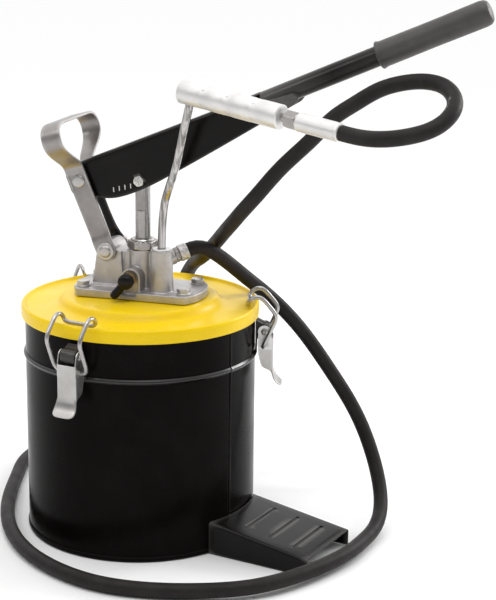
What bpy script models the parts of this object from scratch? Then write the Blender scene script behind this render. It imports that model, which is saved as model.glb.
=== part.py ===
"""Hand-lever gear oil pump on an oil bucket, with its hose stowed in the nozzle holder.

Metres, +Z up. The origin is the centre of the bucket's base on the floor, +X is the way the
pump lever points and +Y is the back. Every named object is one sub-part.
"""

import math

import bmesh
import bpy
import numpy as np
from mathutils import Matrix, Vector

# ---- driving dimensions -------------------------------------------------------------------

GAP = 0.0003  # clearance that touching pieces keep

BUCKET_R = 0.125
BUCKET_WALL = 0.0012
BUCKET_RIM_Z = 0.2489
BEAD_Z = 0.1985

LID_R = 0.129
LID_SHEET = 0.0010
PLATEAU_R = 0.081
PLATEAU_Z = 0.2606
LID_HOLE_R = 0.027

FLANGE_Z0 = 0.2630
FLANGE_Z1 = 0.2700
HEAD_TOP_Z = 0.3110
HEAD_BOLTS = [(sx * 0.057, sy * 0.024) for sx in (-1, 1) for sy in (-1, 1)]

ROD_X = 0.0030
ROD_R = 0.0081
TOWER_XY = (0.0300, -0.0170)
TOWER_TOP_Z = 0.3160

# Lever linkage: lever_pin joins rod and lever, link_low joins link and head, link_top closes it.
LEVER_PIN = Vector((0.0040, 0.0, 0.3870))
LINK_LOW = Vector((-0.0319, 0.0, 0.3094))
LINK_TOP = Vector((-0.0628, 0.0, 0.3835))
LEVER_TILT = math.radians(22.0)
LINK_Y = 0.0185  # middle of each strap leg
STRAP_T = 0.0030
STRAP_W = 0.0220
RING_BEND = 0.0930  # where the hand loop leans back from the legs' line, along the link
RING_LEAN = math.radians(7.0)

CHANNEL_HALF = 0.0132
CHANNEL_T = 0.0020
TUBE_START = (0.1560, 0.0333)  # in the lever's own plane, along and across
TUBE_TILT = math.radians(1.75)
TUBE_R = 0.0105
GRIP_R = 0.0134

BARREL_R = 0.0250
BARREL_BORE = 0.0220
BARREL_Z0 = 0.0180
BARREL_Z1 = 0.2517

LATCH_ANGLES = (-102.0, 13.0, 133.0)
LATCH_PIVOT = (0.1355, 0.2240)  # radius and height
BAIL_PIVOT = (0.1345, 0.2075)
BAIL_WIRE_R = 0.00225

HOSE_R = 0.0079
FLOOR_Z = 0.0080

VALVE_START = Vector((0.0627, -0.0443, 0.4890))
VALVE_R = 0.0125
VALVE_LENGTH = 0.1231

# The hose's middle line, from the outlet ferrule round the bucket to the valve's ferrule.
HOSE_ROUTE = [
    (0.0503, 0.0080, 0.3105),
    (0.0572, 0.0131, 0.3128),
    (0.0650, 0.0198, 0.3115),
    (0.0762, 0.0305, 0.3032),
    (0.0885, 0.0445, 0.2890),
    (0.1022, 0.0632, 0.2703),
    (0.1210, 0.0832, 0.2475),
    (0.1487, 0.0970, 0.2155),
    (0.1883, 0.1060, 0.1604),
    (0.2212, 0.1050, 0.1106),
    (0.2395, 0.0940, 0.0780),
    (0.2545, 0.0750, 0.0465),
    (0.2628, 0.0490, 0.0240),
    (0.2630, 0.0210, 0.0135),
    (0.2585, -0.0100, 0.0112),
    (0.2501, -0.0517, 0.0120),
    (0.2351, -0.0883, 0.0120),
    (0.2086, -0.1322, 0.0120),
    (0.1749, -0.1649, 0.0110),
    (0.1322, -0.1827, 0.0090),
    (0.0796, -0.1953, FLOOR_Z),
    (0.0252, -0.1961, FLOOR_Z),
    (-0.0284, -0.1774, FLOOR_Z),
    (-0.0830, -0.1371, FLOOR_Z),
    (-0.1329, -0.0675, FLOOR_Z),
    (-0.1605, -0.0009, FLOOR_Z),
    (-0.1793, 0.0639, FLOOR_Z),
    (-0.1900, 0.1120, FLOOR_Z),
    (-0.1840, 0.1560, 0.0120),
    (-0.1570, 0.1900, 0.0330),
    (-0.1120, 0.2010, 0.0720),
    (-0.0660, 0.1900, 0.1260),
    (-0.0300, 0.1730, 0.1840),
    (-0.0060, 0.1550, 0.2300),
    (0.0120, 0.1370, 0.2590),
    (0.0396, 0.0940, 0.2830),
    (0.0638, 0.0580, 0.3057),
    (0.0775, 0.0360, 0.3194),
    (0.0933, 0.0100, 0.3354),
    (0.1067, -0.0090, 0.3490),
    (0.1201, -0.0215, 0.3637),
    (0.1366, -0.0270, 0.3822),
    (0.1631, -0.0285, 0.4134),
    (0.1959, -0.0280, 0.4461),
    (0.2171, -0.0280, 0.4681),
    (0.2393, -0.0280, 0.4838),
    (0.2622, -0.0280, 0.4980),
    (0.2862, -0.0285, 0.5061),
    (0.3091, -0.0345, 0.5094),
    (0.3303, -0.0480, 0.5073),
    (0.3438, -0.0680, 0.4994),
    (0.3465, -0.0900, 0.4892),
    (0.3357, -0.1100, 0.4773),
    (0.3137, -0.1220, 0.4694),
    (0.2813, -0.1205, 0.4642),
    (0.2545, -0.1100, 0.4642),
    (0.2428, -0.1060, 0.4657),
]
HOSE_STEP = 0.0260
HOSE_STUB = 0.0060

OUTLET_START = Vector((0.0386, -0.0006, 0.3055))
OUTLET_WAY = (Vector(HOSE_ROUTE[0]) - OUTLET_START).normalized()


# ---- small tools --------------------------------------------------------------------------


def finish(name, color, roughness, metallic):
    """A plain Principled material."""
    material = bpy.data.materials.new(name)
    material.use_nodes = True
    shader = material.node_tree.nodes["Principled BSDF"]
    shader.inputs["Base Color"].default_value = (*color, 1.0)
    shader.inputs["Roughness"].default_value = roughness
    shader.inputs["Metallic"].default_value = metallic
    return material


def add(name, bm, material, matrix=None, smooth=True):
    """Makes the object of a bmesh, with its faces pointing out."""
    bmesh.ops.recalc_face_normals(bm, faces=bm.faces)
    if matrix is not None:
        bm.transform(matrix)
    mesh = bpy.data.meshes.new(name)
    bm.to_mesh(mesh)
    bm.free()
    if smooth:
        mesh.shade_smooth()
        mesh.set_sharp_from_angle(angle=math.radians(32))
    mesh.materials.append(material)
    obj = bpy.data.objects.new(name, mesh)
    bpy.context.collection.objects.link(obj)
    return obj


def guide(obj):
    """Marks an object as a tool for a Boolean, not a sub-part."""
    obj.hide_render = True
    obj.display_type = "WIRE"
    return obj


def boolean(obj, tool, operation="DIFFERENCE"):
    modifier = obj.modifiers.new(operation.lower(), "BOOLEAN")
    modifier.operation = operation
    modifier.solver = "EXACT"
    modifier.object = guide(tool)
    return obj


def along(start, direction):
    """A matrix that takes +Z to a direction, from a start point."""
    turn = Vector((0, 0, 1)).rotation_difference(Vector(direction).normalized())
    return Matrix.Translation(start) @ turn.to_matrix().to_4x4()


def lathe(profile, steps=32):
    """A closed outline of (radius, height) points turned about Z."""
    bm = bmesh.new()
    rings = []
    for radius, height in profile:
        if radius < 1e-7:
            rings.append([bm.verts.new((0, 0, height))])
            continue
        angles = [2 * math.pi * k / steps for k in range(steps)]
        rings.append([bm.verts.new((radius * math.cos(a), radius * math.sin(a), height)) for a in angles])
    for i, low in enumerate(rings):
        high = rings[(i + 1) % len(rings)]
        if len(low) == 1 and len(high) == 1:
            continue
        for k in range(steps):
            j = (k + 1) % steps
            corners = [low[k % len(low)], low[j % len(low)], high[j % len(high)], high[k % len(high)]]
            face = [v for n, v in enumerate(corners) if v not in corners[:n]]
            bm.faces.new(face)
    return bm


def prism(outline, low, high, plane="XY"):
    """An outline pushed from low to high along the axis that its plane leaves out."""
    place = {
        "XY": lambda u, v, w: (u, v, w),
        "XZ": lambda u, v, w: (u, w, v),
    }[plane]
    bm = bmesh.new()
    bottom = [bm.verts.new(place(u, v, low)) for u, v in outline]
    top = [bm.verts.new(place(u, v, high)) for u, v in outline]
    bm.faces.new(bottom)
    bm.faces.new(list(reversed(top)))
    for k in range(len(outline)):
        j = (k + 1) % len(outline)
        bm.faces.new((bottom[k], top[k], top[j], bottom[j]))
    return bm


def arc(centre, radius, start, end, steps):
    """Points round a centre, angles in degrees."""
    angles = [math.radians(start + (end - start) * k / steps) for k in range(steps + 1)]
    return [(centre[0] + radius * math.cos(a), centre[1] + radius * math.sin(a)) for a in angles]


def rod(radius, length, steps=16):
    """A plain round bar from the origin along +Z."""
    return lathe([(0, 0), (radius, 0), (radius, length), (0, length)], steps)


def cutter(radius, start, direction, length, steps=20):
    return add("cutter", rod(radius, length, steps), STEEL, along(start, direction))


def hexagon(across_corners):
    return arc((0, 0), across_corners / 2, 30, 330, 5)


def wire(name, points, radius, material, resolution=2):
    """A round bar along points, with closed ends."""
    curve = bpy.data.curves.new(name, "CURVE")
    curve.dimensions = "3D"
    curve.bevel_depth = radius
    curve.bevel_resolution = resolution
    curve.use_fill_caps = True
    spline = curve.splines.new("POLY")
    spline.points.add(len(points) - 1)
    for point, place in zip(spline.points, points):
        point.co = (*place, 1.0)
    spline.use_smooth = True
    curve.materials.append(material)
    obj = bpy.data.objects.new(name, curve)
    bpy.context.collection.objects.link(obj)
    return obj


def smooth_curve(points, step):
    """A natural cubic spline through the points, read about every step."""
    p = np.array(points, float)
    t = np.concatenate([[0], np.cumsum(np.linalg.norm(np.diff(p, axis=0), axis=1))])
    h = np.diff(t)
    n = len(p)
    a = np.eye(n)
    b = np.zeros((n, 3))
    for i in range(1, n - 1):
        a[i, i - 1 : i + 2] = h[i - 1], 2 * (h[i - 1] + h[i]), h[i]
        b[i] = 6 * ((p[i + 1] - p[i]) / h[i] - (p[i] - p[i - 1]) / h[i - 1])
    m = np.linalg.solve(a, b)
    at = np.linspace(0, t[-1], max(2, round(t[-1] / step) + 1))
    k = np.clip(np.searchsorted(t, at, side="right") - 1, 0, n - 2)
    left = (t[k + 1] - at)[:, None]
    right = (at - t[k])[:, None]
    span = h[k][:, None]
    out = (m[k] * left**3 + m[k + 1] * right**3) / (6 * span)
    out += (p[k] / span - m[k] * span / 6) * left + (p[k + 1] / span - m[k + 1] * span / 6) * right
    return [Vector(q) for q in out]


# ---- bucket and footrest ------------------------------------------------------------------


def bucket():
    wall = BUCKET_R - BUCKET_WALL
    rim = BUCKET_RIM_Z
    profile = [
        (0, 0),
        (0.1255, 0),
        (0.1260, 0.0015),
        (0.1260, 0.0060),
        (BUCKET_R, 0.0080),
        (BUCKET_R, BEAD_Z - 0.0030),
        (BUCKET_R + 0.0020, BEAD_Z),
        (BUCKET_R, BEAD_Z + 0.0030),
        (BUCKET_R, rim - 0.0060),
        (0.1272, rim - 0.0045),
        (0.1275, rim - 0.0020),
        (0.1262, rim),
        (0.1245, rim),
        (wall, rim - 0.0020),
        (wall, BEAD_Z + 0.0020),
        (wall + 0.0018, BEAD_Z),
        (wall, BEAD_Z - 0.0020),
        (wall, 0.0030),
        (wall - 0.002, 0.0012),
        (0, 0.0012),
    ]
    add("bucket", lathe(profile, 36), BLACK_PAINT)


def footrest():
    """A pressed step: a sloping top plate with a flange down each side."""
    turn = Matrix.Rotation(math.radians(-13), 4, "Z")
    half = 0.049
    sheet = 0.0020
    inner, outer = 0.1180, 0.2345
    side = [(inner, 0), (outer, 0), (outer, 0.0189), (inner, 0.0375)]
    body = add("footrest", prism(side, -half, half, "XZ"), BLACK_PAINT, turn)
    hollow = [(0.10, -0.01), (0.30, -0.01), (0.30, 0.0079), (0.10, 0.0379)]
    inside = prism(hollow, -half + sheet, half - sheet, "XZ")
    boolean(body, add("footrest_hollow", inside, BLACK_PAINT, turn))
    boolean(body, cutter(0.1264, (0, 0, -0.01), (0, 0, 1), 0.1, 48))


# ---- latches ------------------------------------------------------------------------------


def latch(number, angle):
    """One over-centre latch: base, lever, wire bail and pin, made at +X and turned round Z."""
    turn = Matrix.Rotation(math.radians(angle), 4, "Z")
    r, z = LATCH_PIVOT
    br, bz = BAIL_PIVOT
    pin_hole = 0.0023

    # Base: a plate on the wall with one rounded knuckle that holds the pin.
    inner = BUCKET_R + 0.0022
    side = [(inner, 0.2030), (inner + 0.0014, 0.2030), (inner + 0.0014, 0.2150), (0.1375, 0.2165)]
    side += arc((r, z), 0.0075, -60, 100, 6)
    side += [(inner + 0.0014, 0.2345), (inner, 0.2345)]
    base = add(f"latch_base_{number}", prism(side, -0.0086, 0.0086, "XZ"), BLACK_PAINT)
    boolean(base, cutter(pin_hole, (r, -0.02, z), (0, 1, 0), 0.04, 10))

    # Lever: a channel open towards the bucket, with a tail that curls outwards.
    outline = arc((r, z), 0.0070, 168, 20, 4)
    outline += [(0.1448, 0.2160), (0.1448, 0.1810), (0.1458, 0.1755), (0.1478, 0.1710), (0.1510, 0.1672)]
    outline += [(0.1548, 0.1645), (0.1541, 0.1633), (0.1502, 0.1660), (0.1467, 0.1701), (0.1447, 0.1750)]
    outline += [(0.1437, 0.1800), (0.1400, 0.1805), (0.1345, 0.1845), (0.1308, 0.1905), (0.1292, 0.1980)]
    outline += [(0.1286, 0.2060)]
    lever = add(f"latch_lever_{number}", prism(outline, -0.0115, 0.0115, "XZ"), ZINC)
    pocket = [(0.12, 0.25), (0.16, 0.25), (0.16, 0.2165), (0.1434, 0.2165), (0.1434, 0.1825)]
    pocket += [(0.1420, 0.1790), (0.12, 0.1770)]
    boolean(lever, add(f"lever_pocket_{number}", prism(pocket, -0.0103, 0.0103, "XZ"), ZINC))
    boolean(lever, cutter(pin_hole, (r, -0.02, z), (0, 1, 0), 0.04, 10))
    boolean(lever, cutter(BAIL_WIRE_R + GAP, (br, -0.02, bz), (0, 1, 0), 0.04, 10))

    # Bail: one wire from cheek to cheek, over the lid's rim and down inside it.
    arm = [(br, 0.0098, bz), (br, 0.0150, bz), (br + 0.0006, 0.0184, bz + 0.0022)]
    arm += [(br + 0.0026, 0.0198, bz + 0.0070), (0.1440, 0.0200, 0.2300), (0.1478, 0.0200, 0.2390)]
    arm += [(0.1483, 0.0200, 0.2437), (0.1462, 0.0200, 0.2486), (0.1402, 0.0200, 0.2558)]
    arm += [(0.1345, 0.0200, 0.2621), (0.1300, 0.0200, 0.2647), (0.1250, 0.0200, 0.2644)]
    arm += [(0.1208, 0.0200, 0.2620), (0.1185, 0.0198, 0.2588), (0.1180, 0.0184, 0.2557)]
    arm += [(0.1180, 0.0150, 0.2544)]
    loop = arm + [(x, -y, h) for x, y, h in reversed(arm)]
    bail = wire(f"latch_bail_{number}", loop, BAIL_WIRE_R, ZINC, 1)

    head = 0.0016
    length = 0.0238
    profile = [(0, -head), (0.0030, -head), (0.0034, 0), (0.0020, 0), (0.0020, length)]
    profile += [(0.0034, length), (0.0030, length + head), (0, length + head)]
    pin = add(f"latch_pin_{number}", lathe(profile, 10), STEEL, along((r, -length / 2, z), (0, 1, 0)))

    for obj in (base, lever, bail, pin):
        obj.matrix_world = turn
    for tool in (m.object for obj in (base, lever) for m in obj.modifiers):
        tool.matrix_world = turn


# ---- lid and gaskets ----------------------------------------------------------------------


def lid():
    top = [(LID_R, 0.2398), (LID_R, 0.2505), (0.1282, 0.2528), (0.1266, 0.2542), (0.1249, 0.2534)]
    top += [(0.1226, 0.2506), (0.0920, 0.2516), (0.0875, 0.2540)]
    top += [(0.0840, 0.2590), (PLATEAU_R, PLATEAU_Z), (LID_HOLE_R, PLATEAU_Z + 0.0004)]
    under = [(LID_HOLE_R, PLATEAU_Z + 0.0004 - LID_SHEET), (0.0806, 0.2596), (0.0832, 0.2582)]
    under += [(0.0867, 0.2532), (0.0915, 0.2506), (0.1230, 0.2496), (0.1249, 0.2509)]
    under += [(0.1256, 0.2524), (0.1266, 0.2531), (0.1280, 0.2502), (0.1280, 0.2398)]
    body = add("lid", lathe(top + under, 36), YELLOW_PAINT)
    drill_bolt_holes(body)
    ring = [(0.1254, 0.2492), (0.1273, 0.2492), (0.1273, 0.2500), (0.1266, 0.2522), (0.1259, 0.2512)]
    add("lid_gasket", lathe(ring, 36), RUBBER)


def drill_bolt_holes(obj):
    """Four clearance holes for the head bolts."""
    for x, y in HEAD_BOLTS:
        boolean(obj, cutter(0.0034, (x, y, 0.2450), (0, 0, 1), 0.04, 8))


def flange_outline(grow=0.0):
    """The pump head's plan, with its ends drawn out to blunt points."""
    ends = [(0.0620, 0.0370), (0.0690, 0.0250), (0.0730, 0.0090)]
    quarter = [(x + grow, y + grow) for x, y in ends]
    right = quarter + [(x, -y) for x, y in reversed(quarter)]
    left = [(-x + 0.002, -y) for x, y in right]
    return right + left


def head_gasket():
    body = add("head_gasket", prism(flange_outline(-0.0022), 0.2613, 0.2627), RUBBER, smooth=False)
    boolean(body, cutter(LID_HOLE_R, (0, 0, 0.25), (0, 0, 1), 0.03, 32))
    drill_bolt_holes(body)


# ---- pump head ----------------------------------------------------------------------------


def pump_head():
    """The casting: a flange with the gland tower, link lug, nozzle socket and cock boss."""
    head = add("pump_head", prism(flange_outline(), FLANGE_Z0, FLANGE_Z1), CAST, smooth=False)

    web = [(-0.030, -0.0118), (0.032, -0.0118), (0.032, 0.013), (-0.030, 0.013)]
    lug = [(-0.0500, 0.266), (-0.0130, 0.266), (-0.0165, 0.3090)]
    lug += arc((LINK_LOW.x, LINK_LOW.z), 0.0102, 10, 172, 8) + [(-0.0445, 0.3050)]
    tower = [(0, 0.266), (0.0140, 0.266), (0.0128, 0.274), (0.0118, TOWER_TOP_Z), (0, TOWER_TOP_Z)]
    arch = [(0.0140, 0.266), (0.0140, 0.2840)] + arc((0.0030, 0.2840), 0.0110, 8, 172, 8)
    arch += [(-0.0080, 0.2840), (-0.0080, 0.266)]
    gland = [(0, 0.266), (0.0178, 0.266), (0.0166, 0.275), (0.0162, HEAD_TOP_Z), (0, HEAD_TOP_Z)]
    spigot = [(0, BARREL_Z1 + GAP), (0.0255, BARREL_Z1 + GAP), (0.0255, 0.265), (0, 0.265)]
    port_length = 0.0165
    port = along(OUTLET_START - OUTLET_WAY * port_length, OUTLET_WAY)

    union = [
        add("head_web", prism(web, 0.266, 0.3085), CAST),
        add("head_lug", prism(lug, -0.0165, 0.0165, "XZ"), CAST),
        add("head_tower", lathe(tower, 18), CAST, Matrix.Translation((*TOWER_XY, 0))),
        add("head_gland", lathe(gland, 22), CAST, Matrix.Translation((ROD_X, 0, 0))),
        add("head_arch", prism(arch, -0.0310, 0.0, "XZ"), CAST, Matrix.Translation((-0.004, 0, 0))),
        add("head_port", rod(0.0085, port_length, 14), CAST, port),
        add("head_spigot", lathe(spigot, 22), CAST),
    ]
    for tool in union:
        boolean(head, tool, "UNION")

    bore = ROD_R + 0.0007
    bores = [(0, 0.24), (bore, 0.24), (bore, 0.2967), (0.0129, 0.2967), (0.0129, 0.33), (0, 0.33)]
    boolean(head, add("head_bore", lathe(bores, 18), CAST, Matrix.Translation((ROD_X, 0, 0))))
    boolean(head, cutter(0.0055, (*TOWER_XY, 0.2600), (0, 0, 1), 0.0300, 16))
    boolean(head, cutter(0.0046, (*TOWER_XY, 0.2975), (0, 0, 1), 0.03, 16))
    boolean(head, cutter(0.0045, (LINK_LOW.x, -0.03, LINK_LOW.z), (0, 1, 0), 0.06, 16))
    boolean(head, cutter(0.0036, (-0.0010, -0.04, 0.2835), (0, 1, 0), 0.0200, 12))
    drill_bolt_holes(head)


def head_bolts():
    """Square-headed bolts that hold the head and the lid together, with their washers."""
    size = 0.0060
    square = [(size, size), (-size, size), (-size, -size), (size, -size)]
    for number, (x, y) in enumerate(HEAD_BOLTS, 1):
        place = Matrix.Translation((x, y, FLANGE_Z1 + GAP))
        shank = [(0, -0.0205), (0.0030, -0.0205), (0.0030, 0), (0.0082, 0), (0.0082, 0.0014)]
        shank += [(0.0045, 0.0016), (0, 0.0016)]
        bolt = add(f"head_bolt_{number}", lathe(shank, 12), ZINC, place)
        top = prism(square, 0.0008, 0.0058)
        boolean(bolt, add(f"bolt_head_{number}", top, ZINC, place), "UNION")


def gland():
    ring = [(0.00845, 0.2970), (0.0125, 0.2970), (0.0125, 0.3106), (0.00845, 0.3106)]
    at_rod = Matrix.Translation((ROD_X, 0, 0))
    add("gland_packing", lathe(ring, 18), RUBBER, at_rod)
    turned = at_rod @ Matrix.Rotation(math.radians(20), 4, "Z")
    nut = add("gland_nut", prism(hexagon(0.0345), HEAD_TOP_Z + GAP, 0.3212), STEEL, turned, smooth=False)
    collar = [(0, 0.3190), (0.0130, 0.3190), (0.0120, 0.3226), (0, 0.3226)]
    boolean(nut, add("nut_collar", lathe(collar, 18), STEEL, at_rod), "UNION")
    boolean(nut, cutter(ROD_R + 0.0005, (ROD_X, 0, 0.30), (0, 0, 1), 0.03, 18))


# ---- what works inside the bucket ---------------------------------------------------------


def barrel():
    tube = [(BARREL_BORE, BARREL_Z0), (BARREL_R, BARREL_Z0), (BARREL_R, BARREL_Z1), (BARREL_BORE, BARREL_Z1)]
    body = add("pump_barrel", lathe(tube, 24), STEEL, Matrix.Translation((ROD_X, 0, 0)))
    boolean(body, cutter(0.0018, (ROD_X - 0.04, 0, 0.0480), (1, 0, 0), 0.08, 12))
    pin = rod(0.0015, 2 * BARREL_R - 0.001, 10)
    add("ball_stop_pin", pin, STEEL, along((ROD_X - BARREL_R + 0.0005, 0, 0.0480), (1, 0, 0)))


def foot_valve():
    at_rod = Matrix.Translation((ROD_X, 0, 0))
    seat = [(0.0060, 0.0180), (0.0215, 0.0180), (0.0215, 0.0280), (0.0072, 0.0280), (0.0060, 0.0268)]
    add("foot_valve_seat", lathe(seat, 20), BRASS, at_rod)
    radius = 0.0080
    height = 0.0278 + math.sqrt(radius**2 - 0.0068**2)
    ball = [(radius * math.cos(a), radius * math.sin(a)) for a in np.linspace(-math.pi / 2, math.pi / 2, 7)]
    ball = [(max(0.0, r) if r > 1e-6 else 0.0, z) for r, z in ball]
    add("foot_valve_ball", lathe(ball, 12), STEEL, Matrix.Translation((ROD_X, 0, height + GAP)))
    cup = [(0, 0.0045), (0.0225, 0.0045), (0.0240, 0.0060), (0.0240, 0.0176), (0.0225, 0.0176)]
    cup += [(0.0225, 0.0065), (0, 0.0065)]
    strainer = add("suction_strainer", lathe(cup, 16), ZINC, at_rod)
    for k in range(3):
        side = Vector((math.cos(k * math.pi / 3 + 0.2), math.sin(k * math.pi / 3 + 0.2), 0))
        start = Vector((ROD_X, 0, 0.0115)) - side * 0.04
        boolean(strainer, cutter(0.0025, start, side, 0.08, 8))


def piston_and_rod():
    at_rod = Matrix.Translation((ROD_X, 0, 0))
    shoulder = 0.1120 + GAP
    shaft = [(0, 0.0920), (0.0055, 0.0920), (0.0055, shoulder), (ROD_R, shoulder), (ROD_R, 0.3980), (0, 0.3980)]
    body = add("piston_rod", lathe(shaft, 18), STEEL, at_rod)
    for side in (-1, 1):
        flat = [(-0.02, 0.3530), (0.02, 0.3530), (0.02, 0.41), (-0.02, 0.41)]
        low, high = sorted((side * 0.0062, side * 0.02))
        boolean(body, add("rod_flat", prism(flat, low, high, "XZ"), STEEL, at_rod))
    boolean(body, cutter(0.0043, LEVER_PIN + Vector((0, -0.02, 0)), (0, 1, 0), 0.04, 16))

    disc = [(0.0058, 0.1000), (0.0213, 0.1000), (0.0213, 0.1035), (0.0190, 0.1035), (0.0190, 0.1085)]
    disc += [(0.0213, 0.1085), (0.0213, 0.1120), (0.0058, 0.1120)]
    add("piston", lathe(disc, 20), BRASS, at_rod)
    seal = [(0.0193, 0.1038), (0.0216, 0.1038), (0.0216, 0.1082), (0.0193, 0.1082)]
    add("piston_seal", lathe(seal, 20), RUBBER, at_rod)
    nut = add("piston_nut", prism(hexagon(0.0200), 0.0930, 0.0997), STEEL, at_rod, smooth=False)
    boolean(nut, cutter(0.0058, (ROD_X, 0, 0.08), (0, 0, 1), 0.03, 16))


def outlet_valve():
    """The check valve under the nozzle socket: seat, ball and spring in one upright chamber."""
    at_tower = Matrix.Translation((*TOWER_XY, 0))
    seat = [(0.0022, 0.2633), (0.0052, 0.2633), (0.0052, 0.2680), (0.0028, 0.2680), (0.0022, 0.2674)]
    add("outlet_valve_seat", lathe(seat, 16), BRASS, at_tower)
    radius = 0.0036
    ball = [(radius * math.cos(a), radius * math.sin(a)) for a in np.linspace(-math.pi / 2, math.pi / 2, 7)]
    ball = [(r if r > 1e-6 else 0.0, z) for r, z in ball]
    height = 0.2680 + math.sqrt(radius**2 - 0.0025**2) + GAP
    add("outlet_valve_ball", lathe(ball, 10), STEEL, Matrix.Translation((*TOWER_XY, height)))
    turns = 4
    low, high = height + radius + 0.0010, 0.2885
    coil = []
    for k in range(turns * 8 + 1):
        a = 2 * math.pi * k / 8
        z = low + (high - low) * k / (turns * 8)
        coil.append((TOWER_XY[0] + 0.0040 * math.cos(a), TOWER_XY[1] + 0.0040 * math.sin(a), z))
    wire("outlet_valve_spring", coil, 0.0006, STEEL, 0)


# ---- lever, link and carrying handle ------------------------------------------------------


def in_lever(u, v):
    """A point of the lever's own plane, along and across, as world x and z."""
    c, s = math.cos(LEVER_TILT), math.sin(LEVER_TILT)
    return LEVER_PIN.x + u * c - v * s, LEVER_PIN.z + u * s + v * c


def lever():
    outline = [(-0.0780, 0.0130), (-0.0740, 0.0065), (-0.0540, -0.0005), (-0.0420, -0.0060)]
    outline += [(-0.0290, -0.0092), (-0.0150, -0.0100), (0.0, -0.0096), (0.0160, -0.0082), (0.0296, -0.0063)]
    outline += [(0.1900, 0.0205), (0.1960, 0.0270), (0.1900, 0.0330), (0.1560, 0.0350), (0.1530, 0.0440)]
    outline += [(0.1100, 0.0425), (-0.0550, 0.0405), (-0.0740, 0.0380), (-0.0785, 0.0330)]
    hollow = [(-0.10, -0.03), (0.21, -0.03), (0.21, 0.0355), (0.1535, 0.0419), (0.1100, 0.0404)]
    hollow += [(-0.0560, 0.0385), (-0.10, 0.0340)]
    world = [in_lever(u, v) for u, v in outline]
    body = add("lever_channel", prism(world, -CHANNEL_HALF, CHANNEL_HALF, "XZ"), BLACK_PAINT)
    half = CHANNEL_HALF - CHANNEL_T
    inside = prism([in_lever(u, v) for u, v in hollow], -half, half, "XZ")
    boolean(body, add("channel_hollow", inside, BLACK_PAINT))
    boolean(body, cutter(0.0043, LEVER_PIN + Vector((0, -0.02, 0)), (0, 1, 0), 0.04, 16))
    boolean(body, cutter(0.0066, LINK_TOP + Vector((0, -0.02, 0)), (0, 1, 0), 0.04, 20))

    start = Vector((in_lever(*TUBE_START)[0], 0, in_lever(*TUBE_START)[1]))
    tilt = LEVER_TILT + TUBE_TILT
    frame = along(start, (math.cos(tilt), 0, math.sin(tilt)))
    tube = [(TUBE_R - 0.002, 0), (TUBE_R, 0), (TUBE_R, 0.2400), (TUBE_R - 0.002, 0.2400)]
    add("lever_tube", lathe(tube, 18), BLACK_PAINT, frame)
    grip = [(TUBE_R + GAP, 0.1302), (0.0140, 0.1302), (0.0145, 0.1315), (0.0140, 0.1330)]
    grip += [(GRIP_R, 0.1352), (GRIP_R, 0.2430), (0.0122, 0.2482), (0.0083, 0.2506), (0, 0.2511)]
    grip += [(0, 0.2440), (TUBE_R + GAP, 0.2440)]
    add("lever_grip", lathe(grip, 18), RUBBER, frame)


def strap_path():
    """The strap's middle line in its own plane: sideways distance and distance up the link."""
    leg = [(LINK_Y + 0.0015, -0.0105), (LINK_Y + 0.0015, 0.0130), (LINK_Y, 0.0180), (LINK_Y, 0.0935)]
    neck = [(0.0200, 0.0975), (0.0245, 0.1020), (0.0400, 0.1110), (0.0495, 0.1175)]
    corner = [(0.0545, 0.1240), (0.0555, 0.1315), (0.0535, 0.1385), (0.0475, 0.1440), (0.0385, 0.1460)]
    half = leg + neck + corner
    return half + [(-y, u) for y, u in reversed(half)]


def strap_half(sideways, along_link):
    """Half the strap's width: the back leg is the narrower one."""
    share = min(1.0, max(0.0, (along_link - 0.0975) / 0.0270))
    return STRAP_W / 2 if sideways < 0 else 0.0078 + (STRAP_W / 2 - 0.0078) * share


def on_link(sideways, along_link, across):
    """A point of the strap in the world; past the bend, the hand loop stands more upright."""
    up = (LINK_TOP - LINK_LOW).normalized()
    upright = Matrix.Rotation(RING_LEAN, 3, "Y") @ up
    share = min(1.0, max(0.0, (along_link - RING_BEND + 0.006) / 0.012))
    local = up.lerp(upright, share).normalized()
    base = LINK_LOW + up * min(along_link, RING_BEND) + upright * max(0.0, along_link - RING_BEND)
    return base + Vector((0, sideways, 0)) + Vector((local.z, 0, -local.x)) * across


def carry_handle():
    """One strap: a leg each side of the lever, bent out above it into a hand loop."""
    path = [Vector(p) for p in strap_path()]
    outer, inner = [], []
    for k, point in enumerate(path):
        ahead = (path[min(k + 1, len(path) - 1)] - point).normalized()
        behind = (point - path[max(k - 1, 0)]).normalized()
        if k == 0:
            behind = ahead
        if k == len(path) - 1:
            ahead = behind
        middle = (ahead + behind).normalized()
        side = Vector((middle.y, -middle.x))
        reach = STRAP_T / 2 / max(0.5, side.dot(Vector((ahead.y, -ahead.x))))
        outer.append(point + side * reach)
        inner.append(point - side * reach)
    ring = outer + list(reversed(inner))
    bm = bmesh.new()
    faces = []
    for side in (-1, 1):
        faces.append([bm.verts.new(on_link(p.x, p.y, side * strap_half(p.x, p.y))) for p in ring])
    n = len(ring)
    for row in faces:
        for k in range(n // 2 - 1):
            bm.faces.new((row[k], row[k + 1], row[n - 2 - k], row[n - 1 - k]))
    for k in range(n):
        j = (k + 1) % n
        bm.faces.new((faces[0][k], faces[0][j], faces[1][j], faces[1][k]))
    body = add("carry_handle", bm, ZINC)
    boolean(body, cutter(0.0045, LINK_LOW + Vector((0, -0.04, 0)), (0, 1, 0), 0.08, 16))
    boolean(body, cutter(0.0043, LINK_TOP + Vector((0, -0.04, 0)), (0, 1, 0), 0.08, 16))


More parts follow.
